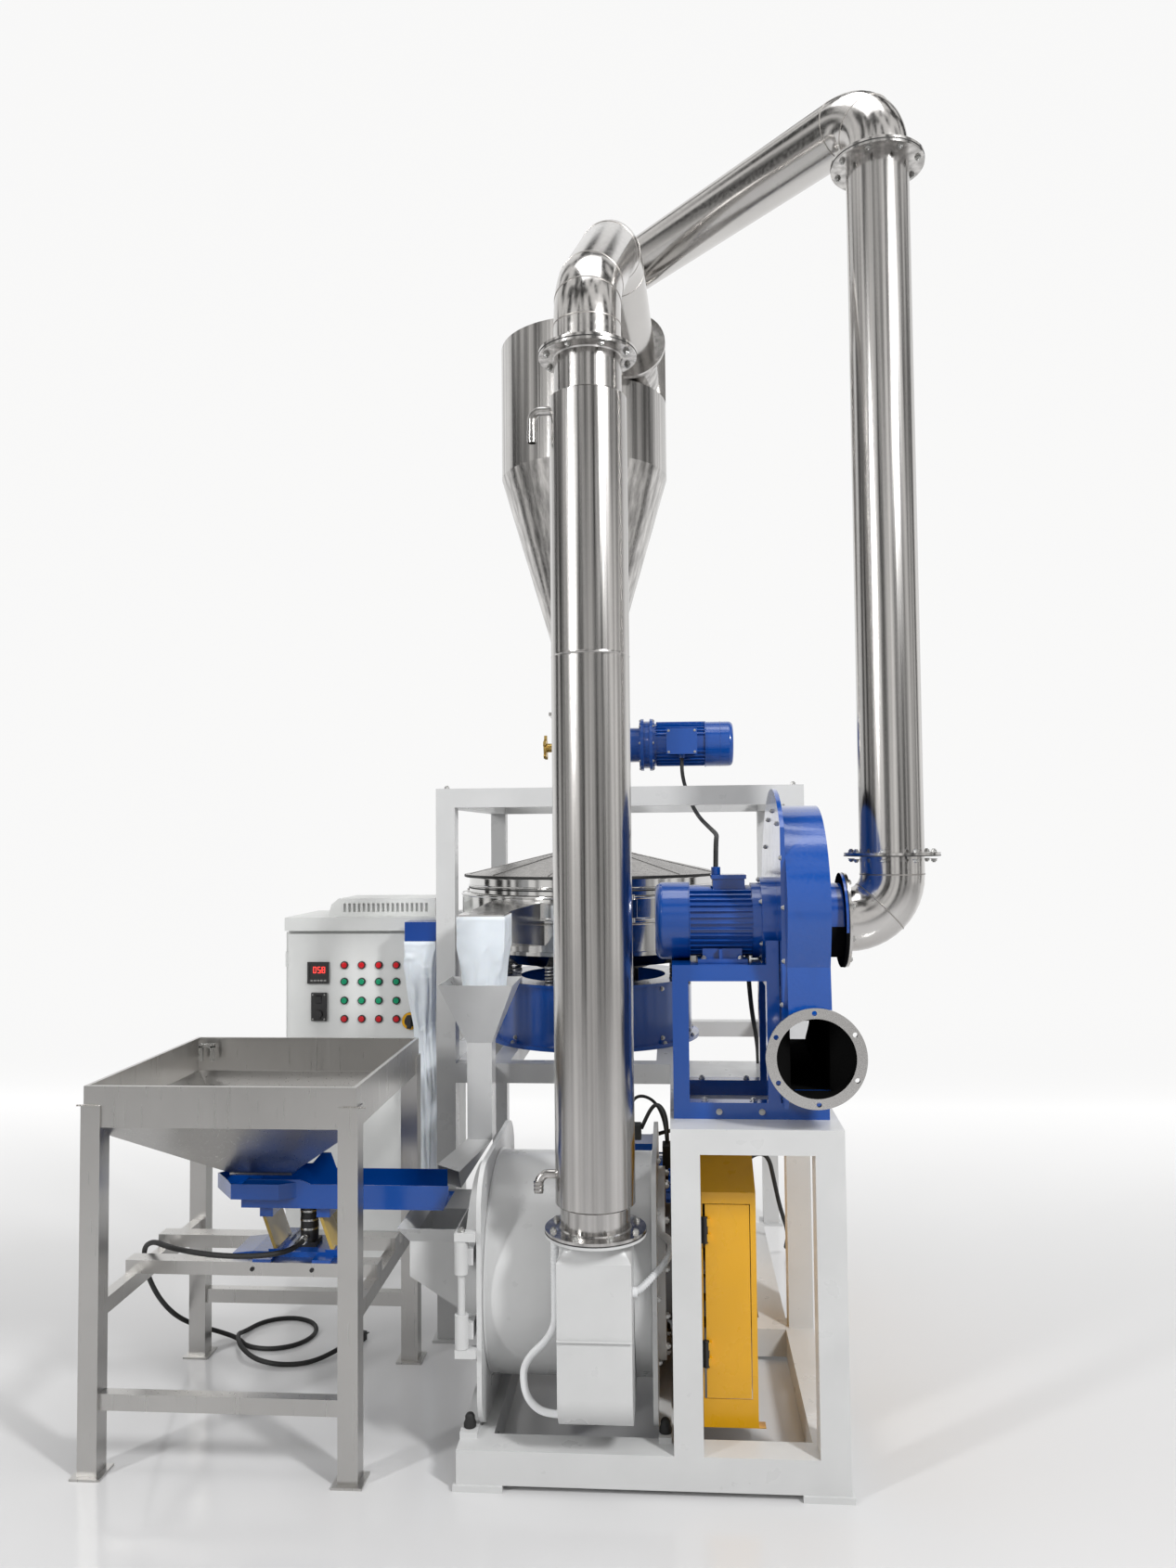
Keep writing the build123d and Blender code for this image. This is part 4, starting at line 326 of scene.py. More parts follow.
def painted_shade_facing_centres(centres, way):
    """A mask of painted shade: one on faces that look towards a centre, or towards its axis where way leaves
    one out.
    """
    def mask(tree):
        place = tree.nodes.new("ShaderNodeTexCoord").outputs
        painted_shade = None
        for centre in centres:
            apart = vector_math(tree, "MULTIPLY", vector_math(tree, "SUBTRACT", place["Object"], centre), way)
            outward = vector_math(tree, "DOT_PRODUCT", apart, place["Normal"], "Value")
            inner = math(tree, "LESS_THAN", outward, -0.002)
            painted_shade = math(tree, "MAXIMUM", painted_shade, inner) if painted_shade else inner
        return painted_shade
    return mask


def second_colour(material, colour, mask_from):
    """Give a material a second colour where its mask is one, and return its tree, shader and mask."""
    tree, shader = tree_of(material)
    first = shader.inputs["Base Color"].links[0].from_socket
    mask = mask_from(tree)
    feed(tree, shader, {"Base Color": mixed(tree, mask, first, (*colour, 1.0))})
    return tree, shader, mask


second_colour(red_lens, lamp_green, below_height(1.055))
second_colour(sieve_steel, near_black, below_height(1.170))
spout_tree, spout_shader, spout_bare = second_colour(spout_finish, bare_sheet, beyond_x(-0.300))
feed(spout_tree, spout_shader, {"Metallic": spout_bare})
# Painted shade: faces inside the fan throat and the outlet are made near black, with no specular, coat or
# metallic gloss.
for finish, centres, way in (
        (fan_paint, (beside(fan_axis, 0.7225), Vector((0.7225, -0.750, outlet_z))), (1.0, 1.0, 1.0)),
        (outlet_steel, (Vector((0.7285, -0.930, outlet_z)),), (1.0, 0.0, 1.0))):
    tree, shader, painted_shade = second_colour(finish, near_black, painted_shade_facing_centres(centres, way))
    for name in ("Specular IOR Level", "Coat Weight", "Metallic"):
        feed(tree, shader, {name: remap(tree, painted_shade, (0.0, 1.0), (shader.inputs[name].default_value, 0.0))})


# Shape tools, each working on an open bmesh
def facing(base, axis):
    return Matrix.Translation(base) @ Vector(axis).to_track_quat("Z", "Y").to_matrix().to_4x4()


def turned(bm, profile, base, axis=up, steps=72, closed=True):
    """A profile of (radius, height) points spun round the axis."""
    place = facing(base, axis)
    verts = [bm.verts.new(place @ Vector((r, 0.0, h))) for r, h in profile]
    edges = [bm.edges.new(pair) for pair in zip(verts, verts[1:])]
    if closed:
        edges.append(bm.edges.new((verts[-1], verts[0])))
    bmesh.ops.spin(bm, geom=verts + edges, cent=base, axis=place.to_3x3() @ Vector(up),
                   angle=2 * pi, steps=steps, use_merge=True)


def disc_ring(bm, base, axis, outer, inner, length, steps=64):
    turned(bm, [(inner, 0.0), (outer, 0.0), (outer, length), (inner, length)], base, axis, steps)


def cylinder(bm, base, axis, radius, length, steps=24):
    place = facing(Vector(base) + Vector(axis).normalized() * length / 2, axis)
    bmesh.ops.create_cone(bm, cap_ends=True, segments=steps, radius1=radius, radius2=radius, depth=length,
                          matrix=place)


def brick(bm, low, high, turn=None):
    low, high = Vector(low), Vector(high)
    place = Matrix.Translation((low + high) / 2)
    if turn:
        place = place @ turn
    bmesh.ops.create_cube(bm, size=1.0, matrix=place @ Matrix.Diagonal((*(high - low), 1.0)))


def block_at(bm, middle, half, turn=None):
    brick(bm, middle - Vector(half), middle + Vector(half), turn)


def bolt(bm, at, axis, size):
    """A hexagon head on a washer, standing on the surface at the given point."""
    way = Vector(axis).normalized()
    cylinder(bm, at, way, size * 1.1, size * 0.18, 20)
    cylinder(bm, Vector(at) + way * size * 0.18, way, size * 0.92, size * 0.65, 6)
    cylinder(bm, Vector(at) + way * size * 0.83, way, size * 0.5, size * 0.35, 12)


def bolt_ring(bm, centre, axis, radius, count, size, start=0.0):
    place = facing(centre, axis)
    for index in range(count):
        bolt(bm, place @ (spoke(start + 2 * pi * index / count) * radius), axis, size)


def stations_along(points, bends, step=radians(7.5)):
    """Places and directions along straight runs joined by arcs, with the marks where an arc starts or ends."""
    stations = [(points[0].copy(), (points[1] - points[0]).normalized())]
    marks = []
    for before, corner, after, bend in zip(points, points[1:], points[2:], bends):
        coming = (corner - before).normalized()
        going = (after - corner).normalized()
        turn = coming.angle(going)
        reach = bend * abs(sin(turn / 2) / cos(turn / 2))
        hub_axis = coming.cross(going).normalized()
        start = corner - coming * reach
        hub = start + hub_axis.cross(coming) * bend
        steps = max(3, int(round(turn / step)))
        for index in range(steps + 1):
            spin = Matrix.Rotation(turn * index / steps, 3, hub_axis)
            stations.append((hub + spin @ (start - hub), spin @ coming))
        marks += [stations[-steps - 1], stations[-steps // 2 - 1], stations[-1]]
    stations.append((points[-1].copy(), (points[-1] - points[-2]).normalized()))
    return stations, marks


def swept(bm, stations, radius, segments=64):
    """Rings set square to the path at each station and bridged in turn."""
    side = stations[0][1].orthogonal().normalized()
    before = None
    for place, way in stations:
        side = (side - way * side.dot(way)).normalized()
        third = way.cross(side)
        turn = Matrix((side, third, way)).transposed().to_4x4()
        ring = bmesh.ops.create_circle(bm, cap_ends=False, radius=radius, segments=segments,
                                       matrix=Matrix.Translation(place) @ turn)
        loop = list({edge for vert in ring["verts"] for edge in vert.link_edges})
        if before:
            bmesh.ops.bridge_loops(bm, edges=before + loop)
        before = [edge for edge in loop if edge.is_valid]


same_place = 0.00002
bevel_from = 40.0


def in_scene(name, data):
    thing = bpy.data.objects.new(name, data)
    bpy.context.collection.objects.link(thing)
    return thing


def mesh_from(name, build):
    bm = bmesh.new()
    build(bm)
    mesh = bpy.data.meshes.new(name)
    bm.to_mesh(mesh)
    bm.free()
    mesh.shade_smooth()
    return mesh


def make(name, material, body, build, smooth=40.0, bevel=0.0, solid=0.0):
    """A finished piece: its mesh is built at its place, closed, smoothed and set on a body."""
    def closed(bm):
        build(bm)
        bmesh.ops.remove_doubles(bm, verts=bm.verts, dist=same_place)
        bmesh.ops.recalc_face_normals(bm, faces=bm.faces)

    mesh = mesh_from(name, closed)
    mesh.set_sharp_from_angle(angle=radians(smooth))
    mesh.materials.append(material)
    piece = in_scene(name, mesh)
    if solid:
        wall = piece.modifiers.new("wall", "SOLIDIFY")
        wall.thickness = solid
        wall.offset = -1.0
    if bevel:
        edge = piece.modifiers.new("edge", "BEVEL")
        edge.width = bevel
        edge.segments = 2
        edge.limit_method = "ANGLE"
        edge.angle_limit = radians(bevel_from)
    if body:
        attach(piece, body)
    return piece


# Finishes on the solids that stay as they are
finishes = {
    feed_steel: ["feeder_stand", "feed_hopper"],
    duct_steel: ["cyclone", "cyclone_cone", "cyclone_inlet", "rotary_valve"],
    outlet_steel: ["fan_outlet"],
    sieve_steel: ["sieve_deck"],
    cover_steel: ["sieve_cover"],
    spout_finish: ["deck_spouts"],
    turned_steel: ["mill_rotor"],
    black_paint: ["fan_impeller"],
    brass: ["valve_rotor"],
    blue_paint: ["feeder_tray", "feeder_base", "sieve_base", "fan_base", "fan_motor", "valve_gearmotor",
                 "main_motor"],
    fan_paint: ["fan_casing"],
    pale_paint: ["mill_base", "mill_housing", "mill_door", "discharge_duct", "return_chute", "return_funnel",
                 "sieve_stand"],
    cabinet_paint: ["cabinet_body", "cabinet_door"],
    yellow_paint: ["belt_guard", "belt_guard_door"],
    black_plastic: ["panel_instruments", "controller_rocker", "main_switch_handle", "feeder_plug",
                    "feeder_magnet"],
    green_plastic: [f"start_button_{number}" for number in range(1, 5)],
    red_plastic: [f"stop_button_{number}" for number in range(1, 5)],
    red_lens: ["indicator_lamps"],
    iron: ["bearing_housing", "motor_pulley"],
    rubber: ["drive_belts", "feeder_cord"],
    leaf_fibre: ["feeder_springs"],
    zinc: ["sieve_springs"],
}
for material, names in finishes.items():
    for name in names:
        mesh = nodes[name].data
        mesh.materials.clear()
        mesh.materials.append(material)


# Riser pipe with its water jacket and the two ribbed nozzles
nozzle_r, nozzle_bend = 0.011, 0.024
nozzle_ribs, rib_pitch = 3, 0.009


def build_riser(bm):
    jacket = [(riser_r - duct_wall, riser_low), (flange_r, riser_low), (flange_r, riser_low + flange_t),
              (riser_r + 0.003, riser_low + flange_t), (riser_r, riser_low + flange_t + 0.003),
              (riser_r, riser_low + flange_t + 0.006), (riser_r, jacket_low - 0.003),
              (riser_r, jacket_low), (jacket_r - 0.004, jacket_low + 0.001), (jacket_r, jacket_low + 0.005),
              (jacket_r, jacket_low + 0.010), (jacket_r, jacket_seam - 0.004),
              (jacket_r, jacket_seam), (jacket_r + 0.001, jacket_seam + 0.002), (jacket_r, jacket_seam + 0.004),
              (jacket_r, jacket_seam + 0.008), (jacket_r, jacket_high - 0.010),
              (jacket_r, jacket_high - 0.005), (jacket_r - 0.004, jacket_high - 0.001), (riser_r, jacket_high),
              (riser_r, jacket_high + 0.003), (riser_r, riser_high - flange_t - 0.006),
              (riser_r, riser_high - flange_t - 0.003), (riser_r + 0.003, riser_high - flange_t),
              (flange_r, riser_high - flange_t), (flange_r, riser_high), (riser_r - duct_wall, riser_high)]
    turned(bm, jacket, riser, steps=96)
    for top, fall, reach, forward in ((2.619, 2.540, 0.141, 0.0), (0.744, 0.700, 0.136, 0.010)):
        start = Vector((riser.x - jacket_r + 0.008, riser.y, top))
        corner = Vector((riser.x - reach, riser.y, top))
        end = Vector((riser.x - reach, riser.y - forward, fall))
        path, _ = stations_along([start, corner, end], [nozzle_bend])
        swept(bm, path, nozzle_r, 24)
        for ridge in range(nozzle_ribs):
            disc_ring(bm, above(end, end.z + 0.006 + ridge * rib_pitch), up, 0.0125, 0.009, 0.004, 24)


riser_visual = make("riser_pipe_skin", duct_steel, "frame", build_riser, smooth=30.0)
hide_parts("riser_pipe")


# Ducts: rings swept along the same routes as the solids
def build_duct(route, bends, radius, first_flange=True):
    def build(bm):
        path, _ = stations_along(route, bends)
        inner = radius - duct_wall
        for skin in (radius, inner):
            swept(bm, path, skin, 80)
        (first, first_way), (last, last_way) = path[0], path[-1]
        if first_flange:
            disc_ring(bm, first, first_way, flange_r, inner, flange_t, 72)
        disc_ring(bm, last - last_way * flange_t, last_way, flange_r, inner, flange_t, 72)
    return build


def build_seams(route, bends, radius):
    def build(bm):
        _, marks = stations_along(route, bends)
        sunk, proud = radius - 0.001, radius + 0.001
        for place, way in marks:
            turned(bm, [(sunk, -0.0025), (proud, -0.0012), (proud, 0.0012), (sunk, 0.0025)], place, way, 72)
    return build


crown = make("crown_duct", bend_steel, "frame",
             build_duct(crown_route, crown_bends, riser_r), smooth=30.0)
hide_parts("cyclone_inlet_duct")
suction = make("suction_duct", bend_steel, "frame",
               build_duct(air_route, air_bends, air_r), smooth=30.0)
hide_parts("cyclone_outlet_duct")
down_pipe = make("fan_riser_pipe", duct_steel, "frame",
                 build_duct([elbow_route[0], air_route[-1]], [], air_r), smooth=30.0)
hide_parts("fan_riser")
elbow = make("fan_elbow", bend_steel, "frame",
             build_duct(elbow_route, [elbow_bend], air_r, first_flange=False), smooth=30.0)
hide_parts("fan_inlet_elbow")
for seam_name, seam_route, seam_bends, seam_r in (
        ("crown_seams", crown_route, crown_bends, riser_r), ("suction_seams", air_route, air_bends, air_r),
        ("elbow_seams", elbow_route, [elbow_bend], air_r)):
    make(seam_name, seam_metal, "frame", build_seams(seam_route, seam_bends, seam_r))



def build_flange_bolts(bm):
    for joint, sides in ((above(riser, riser_low), (1,)), (above(riser, riser_high), (1, -1)),
                         (air_route[0], (1,)), (air_route[-1], (1, -1)), (elbow_route[0], (1, -1))):
        for side in sides:
            bolt_ring(bm, joint + Vector(up) * flange_t * side, up if side > 0 else down, flange_r - 0.016, 8,
                      0.008, radians(22.5))
    bolt_ring(bm, elbow_route[-1] + Vector(to_right) * flange_t, to_right, flange_r - 0.016, 8, 0.008,
              radians(22.5))


make("duct_bolts", zinc, "frame", build_flange_bolts)


# Feeder cord: a curve on the same route as the solid
side_x = -1.092
loop_x, loop_y, loop_r = -0.850, -0.123, 0.118
loop_start, loop_step, loop_points = -84, 44, 7
cord_half = 0.007
cord_route = [
    (-0.600, -0.650, 0.485), (-0.600, -0.730, 0.485), (-0.660, -0.786, 0.488), (-0.760, -0.796, 0.489),
    (-0.862, -0.762, 0.485), (-0.952, -0.710, 0.479), (-1.025, -0.638, 0.469), (side_x + 0.010, -0.578, 0.429),
    (side_x - 0.002, -0.534, 0.349), (side_x - 0.004, -0.474, 0.269), (side_x - 0.004, -0.404, 0.199),
    (side_x - 0.004, -0.328, 0.139), (side_x + 0.002, -0.254, 0.089), (side_x + 0.022, -0.194, 0.050),
    (side_x + 0.072, -0.164, 0.022), (loop_x - 0.113, loop_y - 0.051, 0.009),
    (loop_x - 0.073, loop_y - 0.099, 0.007)]
for turn_step in range(loop_points):
    turn_angle = radians(loop_start + loop_step * turn_step)
    cord_route.append((loop_x + loop_r * cos(turn_angle), loop_y + loop_r * sin(turn_angle), cord_half))
cord_route += [
    (loop_x - 0.118, loop_y - 0.052, 0.024), (loop_x - 0.080, loop_y - 0.134, 0.024),
    (loop_x - 0.012, loop_y - 0.192, 0.011), (loop_x + 0.076, loop_y - 0.216, 0.007),
    (loop_x + 0.160, loop_y - 0.196, 0.007), (loop_x + 0.218, loop_y - 0.134, 0.015),
    (loop_x + 0.246, loop_y - 0.064, 0.015)]


def cord_curve(name, route, half, material):
    curve = bpy.data.curves.new(name, "CURVE")
    curve.dimensions = "3D"
    curve.bevel_depth = half
    curve.bevel_resolution = 4
    curve.resolution_u = 8
    curve.use_fill_caps = True
    spline = curve.splines.new("NURBS")
    spline.points.add(len(route) - 1)
    for point, place in zip(spline.points, route):
        point.co = (*place, 1.0)
    spline.order_u = 3
    spline.use_endpoint_u = True
    curve.materials.append(material)
    piece = in_scene(name, curve)
    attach(piece, "frame")
    return piece


feeder_lead = cord_curve("feeder_lead", cord_route, cord_half, rubber)
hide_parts("feeder_cord")


# Left cooling hose: a curve on the same route as the solid, with ribs on its upper run
hose_half = 0.009
hose_route = [(0.100, -0.895, 0.605), (0.100, -0.895, 0.530), (0.101, -0.899, 0.445), (0.100, -0.902, 0.359),
              (0.024, -0.908, 0.296), (0.024, -0.912, 0.232), (0.044, -0.916, 0.197), (0.078, -0.918, 0.177),
              (0.114, -0.918, 0.177)]
hose_ribs, hose_pitch = 26, 0.0075


def build_left_ribs(bm):
    for step in range(hose_ribs):
        drift = 0.001 * step / 12
        disc_ring(bm, Vector((0.100 + drift * 0.5, -0.895 - drift, 0.594 - step * hose_pitch)), up, 0.0104,
                  0.0085, 0.0036, 24)


make("left_hose_ribs", hose_white, "frame", build_left_ribs)
left_hose = cord_curve("left_hose", hose_route, hose_half, hose_white)
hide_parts("cooling_hose_left")


# Sleeves of thin cloth, gathered towards the foot
sleeve_segments, sleeve_step = 96, 0.012


def build_sleeve(x, y, rows, folds, deep):
    """rows: (shift along X, z, half width, half depth, gather, squareness) from top to bottom."""
    def build(bm):
        before = None
        fine = []
        for first, second in zip(rows, rows[1:]):
            parts = max(2, int((first[1] - second[1]) / sleeve_step))
            for index in range(parts):
                share = index / parts
                fine.append([a + (b - a) * share for a, b in zip(first, second)])
        fine.append(list(rows[-1]))
        for shift, z, wide, depth, gather, square in fine:
            ring = bmesh.ops.create_circle(bm, cap_ends=False, radius=1.0, segments=sleeve_segments)
            for vert in ring["verts"]:
                flat = vert.co.copy()
                corner = max(abs(flat.x), abs(flat.y)) ** square
                angle = flat.to_2d().angle_signed(Vector((1, 0)))
                ripple = sin(angle * folds + 3.0 * noise.noise(Vector((flat.x * 2, flat.y * 2, z * 9))))
                dents = noise.noise(Vector((flat.x * 3, flat.y * 3, z * 14)))
                swell = 1.0 + deep * gather * ripple + 0.03 * dents
                vert.co = Vector((x + shift + wide * flat.x / corner * swell,
                                  y + depth * flat.y / corner * swell, z))
            loop = list({edge for vert in ring["verts"] for edge in vert.link_edges})
            if before:
                bmesh.ops.bridge_loops(bm, edges=before + loop)
            before = [edge for edge in loop if edge.is_valid]
    return build


product_rows = [(0.000, 1.187, 0.0578, 0.0508, 0.0, 1.0), (0.000, 1.160, 0.0572, 0.0502, 0.1, 0.95),
                (-0.007, 1.105, 0.0580, 0.0520, 0.7, 0.7), (-0.003, 1.000, 0.0480, 0.0450, 1.3, 0.5),
                (0.006, 0.880, 0.0355, 0.0370, 1.7, 0.4), (0.013, 0.700, 0.0325, 0.0330, 1.9, 0.35),
                (0.017, 0.500, 0.0300, 0.0300, 2.0, 0.3), (0.017, 0.350, 0.0260, 0.0260, 2.2, 0.3)]
product_cloth = make("product_sleeve_cloth", sleeve_cloth, "sieve",
                     build_sleeve(-0.510, sieve_axis.y, product_rows, 9, 0.06), smooth=80.0, solid=0.0008)
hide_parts("product_sleeve")
return_rows = [(0.0, 1.325, 0.0722, 0.0722, 0.0, 1.0), (0.0, 1.235, 0.0718, 0.0718, 0.1, 1.0),
               (0.0, 1.215, 0.0705, 0.0705, 0.5, 0.9), (0.0, 1.150, 0.0650, 0.0650, 1.1, 0.7),
               (0.0, 1.094, 0.0600, 0.0600, 1.4, 0.6)]
return_cloth = make("return_sleeve_cloth", sleeve_cloth, "sieve",
                    build_sleeve(-0.168, -0.290, return_rows, 11, 0.035), smooth=80.0, solid=0.0008)
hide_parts("return_sleeve")


# Coil springs between the sieve base and the deck
spring_count, spring_ring, spring_r, wire_r = 8, 0.318, 0.017, 0.0042
spring_low, spring_high = 1.070, 1.123
spring_turns, turn_steps = 5, 16
seat_t = 0.004


def build_coils(bm):
    for index in range(spring_count):
        hub = sieve_axis + spoke(radians(22.5 + 45 * index)) * spring_ring
        path = []
        for step in range(spring_turns * turn_steps + 1):
            turn = 2 * pi * step / turn_steps
            height = spring_low + (spring_high - spring_low) * step / (spring_turns * turn_steps)
            path.append((above(hub, height) + spoke(turn) * spring_r,
                         Vector((-sin(turn), cos(turn), 0.1)).normalized()))
        swept(bm, path, wire_r, 8)
        for seat in (spring_low - seat_t, spring_high):
            disc_ring(bm, above(hub, seat), up, 0.022, 0.006, seat_t, 24)


coils = make("sieve_coils", zinc, None, build_coils)
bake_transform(coils)
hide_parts("sieve_springs")


# Vibration motor hanging from the deck, with cooling ribs
def build_vibrator(bm):
    turned(bm, [(0.0, 1.124), (0.150, 1.124), (0.205, 1.112), (0.205, 1.100), (0.150, 1.092), (0.150, 0.985),
                (0.110, 0.960), (0.0, 0.960)], sieve_axis, steps=64, closed=False)
    for index in range(12):
        angle = radians(30 * index)
        block_at(bm, above(sieve_axis, 1.040) + spoke(angle) * 0.152, (0.010, 0.004, 0.045),
                 Matrix.Rotation(angle, 4, "Z"))


make("sieve_vibrator", black_paint, "sieve", build_vibrator, bevel=0.001)


# Dark rings between paired flanges
gasket_t = 0.0024


def build_gaskets(bm):
    for at, way in ((above(riser, riser_high), up), (above(riser, riser_low), up), (air_route[-1], up),
                    (elbow_route[0], up), (elbow_route[-1], to_right)):
        disc_ring(bm, at - Vector(way) * gasket_t / 2, way, flange_r + 0.0006, flange_r - 0.030, gasket_t, 72)


make("flange_gaskets", rubber, "frame", build_gaskets)


# Clamp rings and beads on the sieve, moving with it
deck_rim, deck_wall = 0.4645, 0.4395


def bead(bm, radius, height, out, half):
    turned(bm, [(radius - 0.001, -half), (radius + out * 0.7, -half * 0.8), (radius + out, 0.0),
                (radius + out * 0.7, half * 0.8), (radius - 0.001, half)], above(sieve_axis, height), steps=120)


def build_clamps(bm):
    for radius, height, out, half in ((deck_rim, 1.2915, 0.004, 0.005), (deck_rim, 1.3605, 0.004, 0.005),
                                      (deck_wall, 1.3900, 0.005, 0.004), (deck_wall, 1.2740, 0.004, 0.004)):
        bead(bm, radius, height, out, half)
    for degrees in (-70, 50, 170):
        way = spoke(radians(degrees))
        at = above(sieve_axis, 1.326) + way * 0.468
        block_at(bm, at, (0.014, 0.010, 0.030), Matrix.Rotation(radians(degrees), 4, "Z"))
        cylinder(bm, above(at, at.z - 0.045) + way * 0.004, up, 0.005, 0.09, 12)


make("sieve_clamps", sieve_steel, "sieve", build_clamps, bevel=0.0008)


def build_gasket(bm):
    bead(bm, deck_wall, 1.3820, 0.003, 0.003)
    bead(bm, 0.4555, 1.4240, 0.003, 0.005)


make("sieve_gasket", rubber, "sieve", build_gasket)


def build_cover_ribs(bm):
    for index in range(12):
        way = spoke(radians(15 + 30 * index))
        low = above(sieve_axis, 1.4315) + way * 0.440
        high = above(sieve_axis, 1.5125) + way * 0.086
        along = (high - low).normalized()
        swept(bm, [(low, along), (high, along)], 0.0011, 8)


make("cover_ribs", sieve_steel, "sieve", build_cover_ribs)


def build_base_bolts(bm):
    for degrees in range(-165, 180, 30):
        way = spoke(radians(degrees))
        for height in (0.882, 1.045):
            bolt(bm, above(sieve_axis, height) + way * 0.350, way, 0.007)
        bolt(bm, above(sieve_axis, 0.865) + way * 0.363, up, 0.007)
    for x in (-0.316, 0.776):
        bolt(bm, (x, -0.112, 1.713), up, 0.009)


make("sieve_base_bolts", zinc, "frame", build_base_bolts)


# Motors: fins, end rings, feet, terminal boxes and bolts
rooted = 0.002


def fins(bm, x0, x1, centre, radius, reach, count, thick, skip):
    """Cooling fins round a motor along X, left out where skip says, in degrees."""
    for index in range(count):
        degrees = index * 360.0 / count
        if any(low <= degrees <= high for low, high in skip):
            continue
        angle = radians(degrees)
        out = radius + (reach - rooted) / 2
        middle = Vector(((x0 + x1) / 2, centre.y + out * cos(angle), centre.z + out * sin(angle)))
        block_at(bm, middle, ((x1 - x0) / 2, (reach + rooted) / 2, thick / 2), Matrix.Rotation(angle, 4, "X"))


def build_fan_motor(bm):
    fins(bm, 0.440, 0.598, fan_axis, 0.092, 0.0085, 40, 0.0032, ((62, 118), (240, 300)))
    disc_ring(bm, beside(fan_axis, 0.4375), to_right, 0.1012, 0.090, 0.003, 64)
    for y0, y1 in ((-0.792, -0.735), (-0.635, -0.578)):
        brick(bm, (0.458, y0, 1.2362), (0.584, y1, 1.2462))
        brick(bm, (0.512, y0 + 0.012, 1.246), (0.520, y1 - 0.004, 1.270))
    brick(bm, (0.497, -0.729, 1.445), (0.587, -0.641, 1.456))
    cylinder(bm, (0.510, -0.700, 1.456), up, 0.012, 0.020, 20)


make("fan_motor_fins", blue_paint, "frame", build_fan_motor, bevel=0.0007)


def build_gear_motor(bm):
    fins(bm, 0.346, 0.518, gear_motor_axis, 0.074, 0.0080, 32, 0.0030, ((160, 200), (258, 282)))
    for x, outer, inner, length in ((0.2905, 0.094, 0.080, 0.011), (0.3225, 0.094, 0.080, 0.011),
                                    (0.5185, 0.0825, 0.070, 0.004), (0.572, 0.0812, 0.070, 0.002)):
        disc_ring(bm, beside(gear_motor_axis, x), to_right, outer, inner, length, 64)
    brick(bm, (0.3825, 0.2835, 1.8425), (0.4895, 0.2925, 1.9335))
    cylinder(bm, (0.436, 0.332, 1.832), up, 0.012, 0.016, 20)
    for turn in range(6):
        angle = radians(60 * turn + 30)
        cylinder(bm, (0.340, gear_motor_axis.y + 0.070 * cos(angle), gear_motor_axis.z + 0.070 * sin(angle)),
                 to_right, 0.006, 0.010, 12)


make("gear_motor_fins", blue_paint, "frame", build_gear_motor, bevel=0.0007)


def build_main_motor(bm):
    fins(bm, 0.110, 0.410, motor_axis, 0.165, 0.014, 44, 0.0045, ((60, 120), (225, 315)))
    disc_ring(bm, beside(motor_axis, 0.105), to_right, 0.1675, 0.150, 0.004, 72)


make("main_motor_fins", blue_paint, "frame", build_main_motor, bevel=0.0007)


def build_blue_bolts(bm):
    for centre, way, radius, count, size, start in (
            (beside(gear_motor_axis, 0.2905), to_left, 0.087, 8, 0.0050, 0),
            (beside(gear_motor_axis, 0.3335), to_right, 0.087, 8, 0.0050, 0),
            (beside(fan_axis, 0.622), to_left, 0.106, 6, 0.0060, 30),
            (beside(fan_axis, 0.775), to_right, 0.150, 10, 0.0060, 0),
            (beside(fan_axis, 0.659), to_left, 0.285, 14, 0.0060, 10)):
        bolt_ring(bm, centre, way, radius, count, size, radians(start))
    for xs, ys, z, size in (((0.474, 0.566), (-0.780, -0.590), 1.2462, 0.007),
                            ((0.470, 0.590), (-0.815, -0.555), 0.898, 0.008)):
        for y in ys:
            for x in xs:
                bolt(bm, (x, y, z), up, size)
    for x in (0.505, 0.610):
        bolt(bm, (x, -0.835, 0.876), to_front, 0.007)
    for x, z in ((0.3905, 1.8505), (0.4815, 1.8505), (0.3905, 1.9255), (0.4815, 1.9255)):
        bolt(bm, (x, 0.2835, z), to_front, 0.004)


make("machine_bolts", zinc, "frame", build_blue_bolts)


# Mill: bolts of the right ring, caps on the feet with two cable glands, weld seams and the right hose
def build_mill_bolts(bm):
    bolt_ring(bm, beside(mill_axis, 0.367), to_right, 0.222, 12, 0.0095, radians(15))
    bolt_ring(bm, beside(mill_axis, 0.347), to_right, 0.262, 8, 0.0080)
    for z in (0.330, 0.590):
        bolt(bm, (-0.132, -0.880, z), up, 0.009)


make("mill_bolts", zinc, "frame", build_mill_bolts)


cap_profile = [(0.0, 0.0), (0.0155, 0.0), (0.0155, 0.010), (0.012, 0.018), (0.012, 0.026), (0.008, 0.033),
               (0.0, 0.035)]


def build_caps(bm):
    for x in (-0.117, 0.3635):
        for y in (-0.853, -0.307):
            turned(bm, cap_profile, Vector((x, y, 0.109)), steps=32, closed=False)
    brick(bm, (0.360, -0.500, 0.640), (0.384, -0.440, 0.700))
    brick(bm, (0.250, -0.440, 0.700), (0.300, -0.400, 0.742))


make("mill_caps", rubber, "frame", build_caps, bevel=0.002)


def build_mill_seams(bm):
    for x, foot, crest, half in ((-0.0815, 0.2795, 0.2850, 0.004), (0.3335, 0.2795, 0.2850, 0.004),
                                 (0.347, 0.2395, 0.2440, 0.002)):
        turned(bm, [(foot, -half), (crest, 0.0), (foot, half)], beside(mill_axis, x), to_right, 96)
    brick(bm, (0.1138, -1.0072, 0.3832), (0.2902, -1.0045, 0.3864))


make("mill_seams", pale_paint, "frame", build_mill_seams)


